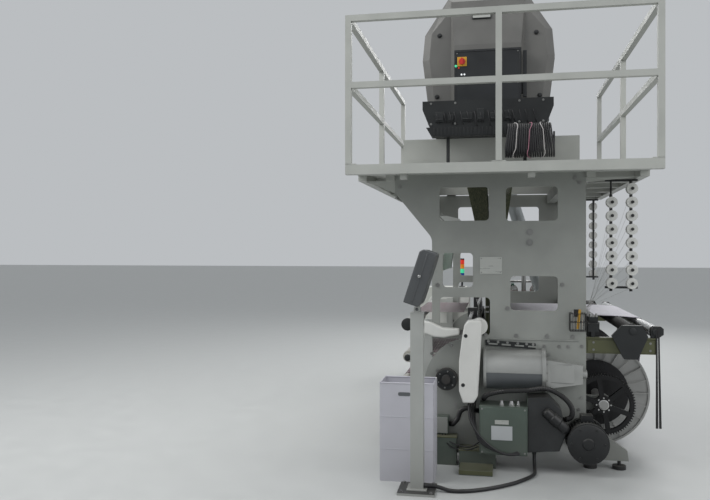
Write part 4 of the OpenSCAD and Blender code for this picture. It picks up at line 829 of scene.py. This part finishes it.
def electric_boxes():
    """Lids, bare labels, glands and leads of the boxes along the drive side."""
    boxes("drive_box_lid", "box_green", [(-124, 184, -206, -200, 119, 434)], bevel=3)
    screws("lid_screws", [(x, -206, z) for x in (-112, 172) for z in (131, 422)], 5, 3)
    boxes("drive_box_label", "box_green", [(-50, 90, -209, -206, 215, 310)], "label_paper", bevel=0.6)
    boxes("drive_box_strip", "box_green", [(-26, 66, -208.5, -206, 322, 350)], "plate_pale", bevel=0.6)
    part = Draft()
    for x, r in ((20, 17), (85, 22), (130, 14)):
        part.rod((x, -150, 440), (x, -150, 452), r, 6)
        part.rod((x, -150, 452), (x, -150, 474), r * 0.78, 20, r * 0.6)
    part.finish("glands", "steel", bevel=1)
    part = Draft().prism([(191, 129), (400, 148.5), (441.5, 260), (411.5, 430.5), (330.5, 511.5),
                          (191, 501.5)], "y", -172, -2)
    part.finish("casting_shell", "gearbox_dark", bevel=5, segments=3)
    boxes("low_plate_shell", "olive_paint", [(-263, -39, -331, -146, 4, 35)], bevel=4)
    boxes("junction_lid", "frame_grey", [(-428, -354, -66, -60, 210, 323)], bevel=2)
    part = Draft()
    for x, y, drop in ((-391, -62, 0), (-370, -50, 1)):
        part.tube(smooth_route([(x, y, 204), (x + 10, -90, 180), (x + 70, -120, 130 + 20 * drop),
                                (x + 170, -140, 120 + 20 * drop), (-135, -150, 150 + 30 * drop)], 6), 5)
    for k in range(4):
        part.tube(smooth_route([(-200 + 14 * k, -10, 470), (-205 + 14 * k, -120, 430 - 18 * k),
                                (-190 + 12 * k, -180, 330 - 16 * k), (-120, -212, 230 - 12 * k),
                                (-20 + 16 * k, -220, 150 - 8 * k), (70 + 20 * k, -212, 125),
                                (120, -204, 140)], 6), 6.5)
    part.finish("box_leads", "cable_black")
    part = Draft().turned((300, -190, 421), (160, 0, -138), [
        (0, 22), (10, 34), (30, 36), (60, 34), (66, 40), (120, 40), (126, 34), (180, 34), (200, 22),
        (208, 10)])
    part.finish("black_actuator", "motor_black", bevel=1)
    boxes("plinth_tops", "olive_paint", [(-444, -286, -114, 2, 190, 198), (-274, -16, -144, 2, 113, 121)],
          bevel=2)


HOSE_ROUTES = (
    [(-100, -0.6, 462), (-100, -25, 462), (-100, -50, 462), (-95, -130, 490), (-59, -165, 517),
     (41, -175, 541), (186, -178, 553), (303, -182, 570), (387, -185, 540), (450, -180, 490),
     (482, -162, 435), (482, -126, 378), (458, -95, 351), (442.2, -95, 348.2), (426.5, -95, 345.4)],
    [(-347.2, -30, 270), (-332.6, -30, 270), (-318, -30, 270), (-285, -45, 310), (-262, -70, 372),
     (-215, -100, 400), (-164, -110, 388), (-147.4, -110, 388), (-130.8, -110, 388)])


def hose_ridges():
    """Ridges of the corrugated hoses along the drive side."""
    part = Draft()
    for route in HOSE_ROUTES:
        part.tube(smooth_route(route, 14), (15.0, 18.0), 12)
    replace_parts(part.finish("ridged_hoses", "hose_black"), "hoses")


def motor():
    """Cooling fins and end bell of the main motor."""
    x, y, z = 580, -230, 220
    boxes("motor_fins", "motor_black",
          [(x - 2.5, x + 2.5, -188, -62, z + 117, z + 133, spin(k, 36), (x, 0, z)) for k in range(36)],
          smooth=False)
    part = Draft().turned((x, y, z), NEAR, [(0, 128), (4, 122), (6, 40), (14, 34), (18, 10)], 40)
    for start, end in zip(circle(x, y, z, 108, 6), circle(x, y - 8, z, 108, 6)):
        part.rod(start, end, 8, 6)
    part.finish("motor_bell", "motor_black", bevel=1)


def take_up_disc():
    """Screws and hub on the black disc of the take-up roller."""
    x, y, z = TAKE_UP[0], -62, TAKE_UP[1]
    screws("disc_screws", circle(x, y, z, 58, 6, 20), 6, 5, body="take_up")
    part = Draft().turned((x, y, z), NEAR, [
        (0, 70), (3, 70), (4, 46), (1, 44), (1, 34), (14, 32), (17, 24)], 40)
    part.finish("disc_rings", "black_steel", body="take_up", bevel=0.8)


def tool_basket():
    """Small wire basket on the gantry plate, with a few tools."""
    x0, x1, y0, y1, z0, z1 = 478, 583, -84, -4, 948, 1066
    part = Draft()
    for z in (z0, (z0 + z1) / 2, z1):
        part.tube([(x0, y1, z), (x0, y0, z), (x1, y0, z), (x1, y1, z), (x0, y1, z)], 2.4, 6)
    for x in evenly(x0, x1, 7):
        part.tube([(x, y0, z1), (x, y0, z0), (x, y1, z0)], 1.8, 5)
    for y in evenly(y0, y1, 4):
        for x in (x0, x1):
            part.tube([(x, y, z1), (x, y, z0)], 1.8, 5)
    part.box(510, 550, -4, 0, 1040, 1090).finish("tool_basket", "rack_black")
    part = Draft().rod((530, -45, 960), (545, -40, 1092), 9, 12)
    part.finish("tool_handle", "knob_red", "switch_yellow", bevel=1)
    part = Draft().rod((505, -35, 960), (500, -30, 1085), 4, 10)
    part.rod((560, -50, 960), (566, -60, 1075), 5, 10).finish("tool_shafts", "steel")


# ---------------------------------------------------------------- warp side

SPOOL_PITCH = 95


def spools():
    """Flanged spools of catch cord on black hanging rods, near both sides of the loom."""
    bodies, yarns, rods, cords = Draft(), Draft(), Draft(), Draft()
    for side in (0, 1):
        out = (0, 1 - 2 * side, 0)

        def across(y):
            return SPAN - y if side else y
        rack = across(200)
        for x, count, top in ((781, 7, 1836), (916, 8, 1930)):
            for i in range(count):
                z = top - SPOOL_PITCH * i
                full = random.uniform(29, 36)
                bodies.turned((x, across(136), z), out, [
                    (0, 12), (0, 38), (3, 38), (4, 14), (50, 14), (51, 38), (54, 38), (54, 12)])
                yarns.turned((x, across(140), z), out, [
                    (0, 14), (0.5, full - 2), (6, full), (40, full), (45.5, full - 2), (46, 14)])
                rods.rod((x, across(128), z), (x, across(202), z), 5, 14)
                rods.rod((x, across(124), z), (x, across(130), z), 12, 6)
                cords.tube([(x - 8, across(160), z - 32), (640, across(300 + 60 * i), 1038)], 0.8, 4)
            for k in range(count + 1):
                z = min(1985, top + 48) - SPOOL_PITCH * k
                rods.rod((x, rack, z - 10), (x, rack, z + 10), 11, 14)
            rods.rod((x, rack, 1244), (x, rack, 2000), 7, 16)
        rods.box(740, 960, rack - 12, rack + 12, 1986, 2000)
        rods.box(740, 960, rack - 8, rack + 8, 1228, 1244)
    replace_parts(bodies.finish("spool_bodies", "cover_white"), "spool_rack")
    yarns.finish("spool_yarns", "warp_white", "yarn_white")
    rods.finish("spool_rods", "rack_black")
    cords.finish("catch_cords", "warp_white", "yarn_white")


def warp_side():
    """Rims of the beam's flanges, strap, apron and roller end details."""
    x, z = BEAM[:2]
    part = Draft()
    for y in (598, 1902):
        part.tube(circle(x, y, z, 392, 60, closed=True), 6)
    part.finish("flange_rims", "steel", body="beam")
    boxes("flange_ribs", "beam_alu", [(x - 3, x + 3, y, y + 9, z + 100, z + 380, spin(k, 24), (x, 0, z))
                                      for y in (567, 1924) for k in range(24)], body="beam", bevel=1)
    part = Draft()
    for start, end in zip(circle(x, 90, z, 48, 8), circle(x, 84, z, 48, 8)):
        part.rod(start, end, 6, 6)
    part.turned((x, 90, z), NEAR, [(0, 36), (6, 36), (8, 30), (9.5, 12)])
    part.finish("gear_hub", "steel", body="beam", bevel=0.6)
    part = Draft().prism([(1044, 962), (1053, 962), (1059, 292), (1042, 292)], "y", -3, 0.5)
    part.prism([(1056, 962), (1066, 962), (1080, 292), (1064, 292)], "y", -3, 0.5)
    part.finish("black_strap", "hose_black", smooth=False)
    part = Draft().turned((x, 567, z), NEAR, [(0, 245), (5, 245), (7, 238), (8, 60)], 64)
    part.finish("flange_disc", "gear_black", body="beam")
    boxes("apron_panel", "olive_paint", [(600, 1040, 6, 10, 800, 880), (590, 1050, 0, 4, 892, 900)],
          bevel=1.5)
    screws("arm_screws", [(x, 6, z) for x in (640, 1010) for z in (815, 865)], 6, 4)
    part = Draft()
    for (x, z, _), inset, r in ((GUIDE, 10, 22), (WHIP, -36, 24)):
        for y, out in ((inset, NEAR), (SPAN - inset, FAR)):
            part.turned((x, y, z), out, [(0, r), (7, r), (9, r - 4), (10, 4)], 24)
    part.finish("roller_caps", "black_steel", bevel=1)


# ---------------------------------------------------------------- pendant, bin, cabinet

TILT = Matrix.Rotation(math.radians(18), 3, "Y")
PIVOT = Vector((-498.0, -700.0, 1133.0))


def on_screen(part, *words, **settings):
    """Tilts a draft drawn upright about the screen's pivot, and fixes it to the screen."""
    for vert in part.bm.verts:
        vert.co = PIVOT + TILT @ vert.co
    return part.finish(*words, body="screen", **settings)


def pendant():
    """Rounded screen housing, its glass, keys, ridge and knob, and the post's collars."""
    front, middle, back, half, top = -86.5, -34.0, 18.5, 130.0, 345.0
    part = Draft().prism([(front, 24), (back - 12, 24), (back, 40), (back, top + 10), (back - 12, top + 24),
                          (front + 20, top + 24), (front, top + 4)], "y", -half, half)
    part.box(-8, 8, -19.5, 19.5, 0, 30).rod((0, -34, 0), (0, 34, 0), 10, 24)
    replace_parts(on_screen(part, "screen_housing", "screen_grey", bevel=7, segments=3), "pendant_screen")
    on_screen(Draft().box(front - 1.5, front, -108, 108, 96, 331), "screen_glass_pane", "screen_grey",
              "screen_glass", bevel=1)
    part = Draft()
    for y in range(-102, 74, 35):
        part.box(front - 3, front, y, y + 22, 50, 70)
    on_screen(part, "screen_keys", "frame_grey", bevel=1.5)
    part = Draft().rod((front, 110, 60), (front - 14, 110, 60), 15, 24)
    on_screen(part, "stop_button", "knob_red", bevel=2)
    part = Draft().box(middle - 4, middle + 4, -half - 2.5, -half + 1, 40, 353)
    on_screen(part.box(back - 2, back + 3, -100, 100, 60, 325), "screen_ridges", "screen_grey", bevel=2)
    part = Draft().turned((middle - 6, -half, 205), NEAR, [(0, 13), (6, 12), (12, 9), (13, 3)], 24)
    on_screen(part, "screen_knob", "steel", bevel=0.6)
    boxes("post_collars", "post_grey",
          [(-540, -456, -742, -658, 1106, 1115.4), (-560, -436, -762, -638, 15, 24)], bevel=2)
    screws("base_screws", [(x, y, 15) for x in (-590, -406) for y in (-792, -608)], 9, 8, UP)
    Draft().prism(rounded(-613, -383, -815, -585, 10), "z", 15, 15.8).finish("base_mat", "black_steel")
    part = Draft().turned((-458, -700, 34), (1, 0, 0), [(0, 18), (10, 18), (14, 15.5), (34, 13.5)], 24)
    part.turned((238, -96, 134), (0, 0, -1), [(0, 18), (10, 18), (14, 15.5), (30, 13.5)], 24)
    part.finish("cable_glands", "cable_black")


def bin_details():
    """Rolled rim and seams of the waste bin, and a dark plate of painted shade in its small slot."""
    x0, x1, y0, y1, top = -760, -410, -545, -295, 640
    rim = [(x0 + 3, y0 + 3), (x1 - 3, y0 + 3), (x1 - 3, y1 - 3), (x0 + 3, y1 - 3), (x0 + 3, y0 + 3)]
    part = Draft().tube([(x, y, top - 3) for x, y in rim], 6, 10)
    part.box(x1 - 2, x1 + 1.5, y0, y1, 4, top - 6)
    for z in (210, 420):
        part.box(x0 + 4, x1 - 4, y0 - 1.5, y0, z - 3, z + 3)
    part.finish("bin_rim", "bin_white", bevel=1)
    # Painted shade: a dark plate stands for the shadow in the bin's small slot.
    part = Draft().prism(rounded(-640, -560, 556, 580, 10), "y", y0 - 2, y0)
    part.finish("bin_slot_shade", "lay_grey", bevel=0.8)


def cabinet():
    """Edges, vents, door, panel and handle of the control cabinet."""
    x0, x1, y0, y1 = -920, -380, 3450, 3850
    boxes("cabinet_edges", "cabinet_grey", [(x0 - 2, x1 + 2, y0 - 2, y1 + 1, z, z + 4) for z in (100, 1056)]
          + [(x0 + 2, x1 - 2, y0 + 2, y1 - 2, 92, 100)], bevel=1)
    boxes("cabinet_louvres", "cabinet_grey",
          [(x1 - 1, x1 + 4, 3560, 3760, z, z + 8) for z in range(780, 935, 22)]
          + [(-780, -520, y0 - 4, y0 + 1, z, z + 8) for z in range(240, 395, 22)], bevel=1)
    door = y1 + 24
    boxes("door_handle", "box_black", [(x0 + 26, x0 + 56, door - 2, door + 3, 545, 695),
                                       (x0 + 33, x0 + 49, door + 3, door + 18, 560, 680)],
          body="door", bevel=2)
    boxes("door_panel", "cabinet_grey", [(x0 + 12, x1 - 12, door - 2, door, 118, 1042)],
          body="door", bevel=1.5)
    boxes("door_bare_plate", "cabinet_grey", [(-690, -610, door, door + 2, 800, 860)], "plate_pale",
          body="door", bevel=0.8)
    boxes("door_louvres", "cabinet_grey",
          [(-760, -540, door, door + 5, z, z + 7) for z in range(200, 361, 20)], body="door", bevel=1)


def signal_tower():
    """The cabinet's signal tower: a post and four lenses with a ring on each."""
    x, y = -431, 3650
    part = Draft().turned((x, y, 1060), UP, [
        (0, 38), (8, 38), (10, 20), (14, 12), (88, 12), (90, 27), (112, 27)])
    part.turned((x, y, 1384), UP, [(0, 27), (12, 27), (16, 22)])
    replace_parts(part.finish("tower_post", "box_black"), "stack_light")
    for z, name in zip(range(1172, 1400, 53), ("blue", "green", "amber", "red")):
        part = Draft().turned((x, y, z), UP, [(0, 25), (2, 27), (24, 26.4), (49, 27), (51, 25)])
        part.finish(f"tower_{name}", "tower_light", "lens_" + name)
        part = Draft().turned((x, y, z + 51), UP, [(0, 25.5), (2, 25.5)])
        part.finish(f"tower_ring_{name}", "box_black")


def lamp():
    """Lit panel and end caps of the work lamp."""
    half = 385
    part = Draft().prism([(-612, 1721.5), (-328, 1735.5), (-328, 1737), (-612, 1723)], "y",
                         MIDDLE - half, MIDDLE + half)
    part.finish("lamp_glass", "lamp_white", "lamp_panel", smooth=False)
    part = Draft()
    for y in (MIDDLE - half - 17, MIDDLE + half + 9):
        part.prism([(-624, 1720), (-316, 1735), (-316, 1756), (-420, 1782), (-592, 1782), (-624, 1750)],
                   "y", y, y + 8)
    part.finish("lamp_ends", "lamp_white", bevel=2)


# ---------------------------------------------------------------- weft side

STAND = (275.0, 3240.0)
ROWS, ROW_LOW, ROW_PITCH = 4, 790, 265
COLUMNS = (-125, 125)


def feeders():
    """Weft accumulators with their drums wound in yarn, on a tube stand."""
    housings, drums, yarn, metal, threads = Draft(), Draft(), Draft(), Draft(), Draft()
    y = STAND[1]
    for row, x in [(row, STAND[0] + column) for row in range(ROWS) for column in COLUMNS]:
        z = ROW_LOW + ROW_PITCH * row
        housings.turned((x, y + 110, z), NEAR, [
            (0, 30), (4, 44), (40, 50), (50, 50), (52, 42), (170, 42), (172, 56), (182, 58)], 30)
        housings.prism([(y - 190, z + 52), (y - 190, z + 70), (y + 90, z + 78), (y + 90, z + 40),
                        (y - 40, z + 40), (y - 60, z + 52)], "x", x - 18, x + 18)
        drums.turned((x, y - 60, z), NEAR, [
            (0, 56), (3, 60), (8, 54), (60, 53), (84, 53), (88, 40), (90, 8)], 30)
        yarn.turned((x, y - 70, z), NEAR, [(0, 54.5), (2, 56), (46, 56), (48, 54.5)], 30)
        metal.tube(circle(x, y - 152, z, 57, 18, closed=True), 1.8, 6)
        metal.rod((x, y - 190, z - 10), (x, y - 190, z + 56), 4, 10)
        metal.turned((x, y - 194, z), FAR, [(0, 6), (2, 9), (8, 9), (10, 6)], 16)
        metal.rod((x, y + 110, z), (x, y + 126, z), 9, 16)
        eye = 1060 + 14 * row + (6 if x > STAND[0] else 0)
        threads.tube([(x, y - 192, z), (-120 + 10 * row, SPAN + 40, eye)], 0.8, 4)
    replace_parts(housings.finish("feeder_housings", "feeder_green", bevel=1.5), "weft_feeders")
    drums.finish("feeder_drums", "steel")
    yarn.finish("feeder_yarn", "label_cloth", "yarn_red")
    metal.finish("feeder_fittings", "steel")
    threads.box(-150, -60, SPAN, SPAN + 42, 1050, 1056).finish("weft_threads", "label_cloth", "yarn_red")


def stand_collars():
    """Collars on the feeders' post, ends on its arms and pads under its feet."""
    x, y = STAND
    part = Draft()
    for z in (300, 600):
        part.rod((x, y, z), (x, y, z + 50), 32, 24)
    for end in (x - 230, x + 230):
        for row in range(ROWS):
            z = ROW_LOW + 90 + ROW_PITCH * row
            part.rod((end - 4, y, z), (end + 4, y, z), 16, 20)
    for a in (x - 220, x + 220):
        for b in (y - 190, y + 190):
            part.rod((a, b, 0.5), (a, b, 8), 26, 20)
    part.finish("stand_collars", "box_black", bevel=1)


def gearbox_details():
    """Cover plates, bolts and vents of the gearboxes."""
    part = Draft().box(-165, 116, 3100, 3106, 2232, 2598).box(-180, 130, 3100, 3105, 2622, 2808)
    for y in range(2740, 2981, 60):
        part.box(-179, -175, y, y + 20, 2260, 2570)
    part.rod((193, 2950, 2445), (193, 2972, 2445), 42, 28).rod((495, 2990, 740), (495, 3000, 740), 70, 36)
    part.finish("gearbox_plates", "gearbox_dark", bevel=2)
    points = [(x, 3106, z) for x in (-150, -25, 100) for z in (2250, 2580)]
    points += [(x, 3105, z) for x in (-165, 115) for z in (2640, 2795)]
    screws("gearbox_bolts", points + circle(495, 2990, 740, 78, 6), 7, 5, FAR)


DECK_TOP = 2065


def platform_details():
    """Tread strips and the feet of the rail's posts on the platform."""
    treads = [(x, x + 45, -440, -60) for x in range(-960, 916, 75)]
    treads += [(*side, y, y + 45) for side in ((-980, -760), (615, 985)) for y in range(30, 2293, 78)]
    boxes("treads", "platform_grey", [(*tread, DECK_TOP, DECK_TOP + 1.4) for tread in treads], smooth=False)
    feet = [(*xs, *ys) for xs in ((-1000, -930), (930, 1000))
            for ys in ((-500, -430), (905, 995), (2330, 2400))] + [(-45, 45, -500, -430)]
    boxes("post_feet", "platform_grey", [(*foot, DECK_TOP, DECK_TOP + 7) for foot in feet], bevel=1)


FOIL_HALF = 620.0


def front_details():
    """Foil over the front of the harness with its frame, and caps on the front rollers' ends."""
    part = Draft().prism([(-455, 1330), (-452, 1330), (-402, 1700), (-405, 1700)], "y",
                         MIDDLE - FOIL_HALF, MIDDLE + FOIL_HALF)
    part.finish("front_foil", "tube_grey", "foil_green", smooth=False)
    part = Draft()
    for y in (MIDDLE - FOIL_HALF, MIDDLE + FOIL_HALF - 12):
        part.prism([(-462, 1325), (-446, 1325), (-396, 1705), (-412, 1705)], "y", y, y + 12)
    for y in (MIDDLE - FOIL_HALF + 8, MIDDLE + FOIL_HALF - 8):
        part.tube([(-404, y, 1702), (-560, y, 1870), (-700, y, 1905)], 6)
    part.finish("foil_frame", "frame_grey", bevel=1)
    part = Draft()
    for (x, z, _), r in ((FRONT_BAR, 46), (FRONT_ROLL, 24), (DELIVERY, 24)):
        for y, out in ((50, NEAR), (SPAN - 50, FAR)):
            part.turned((x, y, z), out, [(0, r), (6, r), (9, r - 5), (10, 6)])
    part.finish("front_caps", "black_steel", bevel=1)


for build in (head_seams, head_front, base_clutter, head_cable, both_harnesses, reed_wires, labels, warp,
              drop_wires, covers, frame_fittings, housing_details, electric_boxes, hose_ridges, motor,
              take_up_disc, tool_basket, spools, warp_side, pendant, bin_details, cabinet, signal_tower, lamp,
              feeders, stand_collars, gearbox_details, platform_details, front_details):
    build()


# ---------------------------------------------------------------- stage

def stage():
    """A plain pale floor, a soft grey surround and large soft lights."""
    floor_mesh = bpy.data.meshes.new("floor")
    size = 60.0
    floor_mesh.from_pydata([(-size, -size, 0), (size, -size, 0), (size, size, 0), (-size, size, 0)], [],
                           [(0, 1, 2, 3)])
    surface("floor_pale", (0.50, 0.51, 0.50), 0.55, mottle=0.03, bump=0.05)
    floor_mesh.materials.append(MATERIAL["floor_pale"])
    new_object("floor", floor_mesh)
    world = bpy.context.scene.world = bpy.data.worlds.new("surround")
    world.use_nodes = True
    background = world.node_tree.nodes["Background"]
    fill(world.node_tree, background, {"Color": (0.80, 0.83, 0.86, 1.0), "Strength": 0.62})
    for name, spot, aim, size, power in (
            ("key_light", (-4.5, -3.5, 5.5), (0, 0, 1.4), 3.5, 200),
            ("fill_light", (4.5, -4.5, 4.0), (0, 0, 1.2), 4.0, 90),
            ("back_light", (1.5, 6.0, 5.5), (0, 0, 1.6), 4.0, 190),
            ("top_light", (0.0, 0.0, 7.0), (0, 0, 0), 5.0, 130)):
        light = new_object(name, bpy.data.lights.new(name, "AREA"))
        light.data.shape = "SQUARE"
        light.data.size = size
        light.data.energy = power
        light.location = spot
        light.rotation_euler = (Vector(aim) - Vector(spot)).to_track_quat("-Z", "Y").to_euler()


stage()
bpy.context.scene.view_settings.view_transform = "Standard"

bpy.context.view_layer.update()
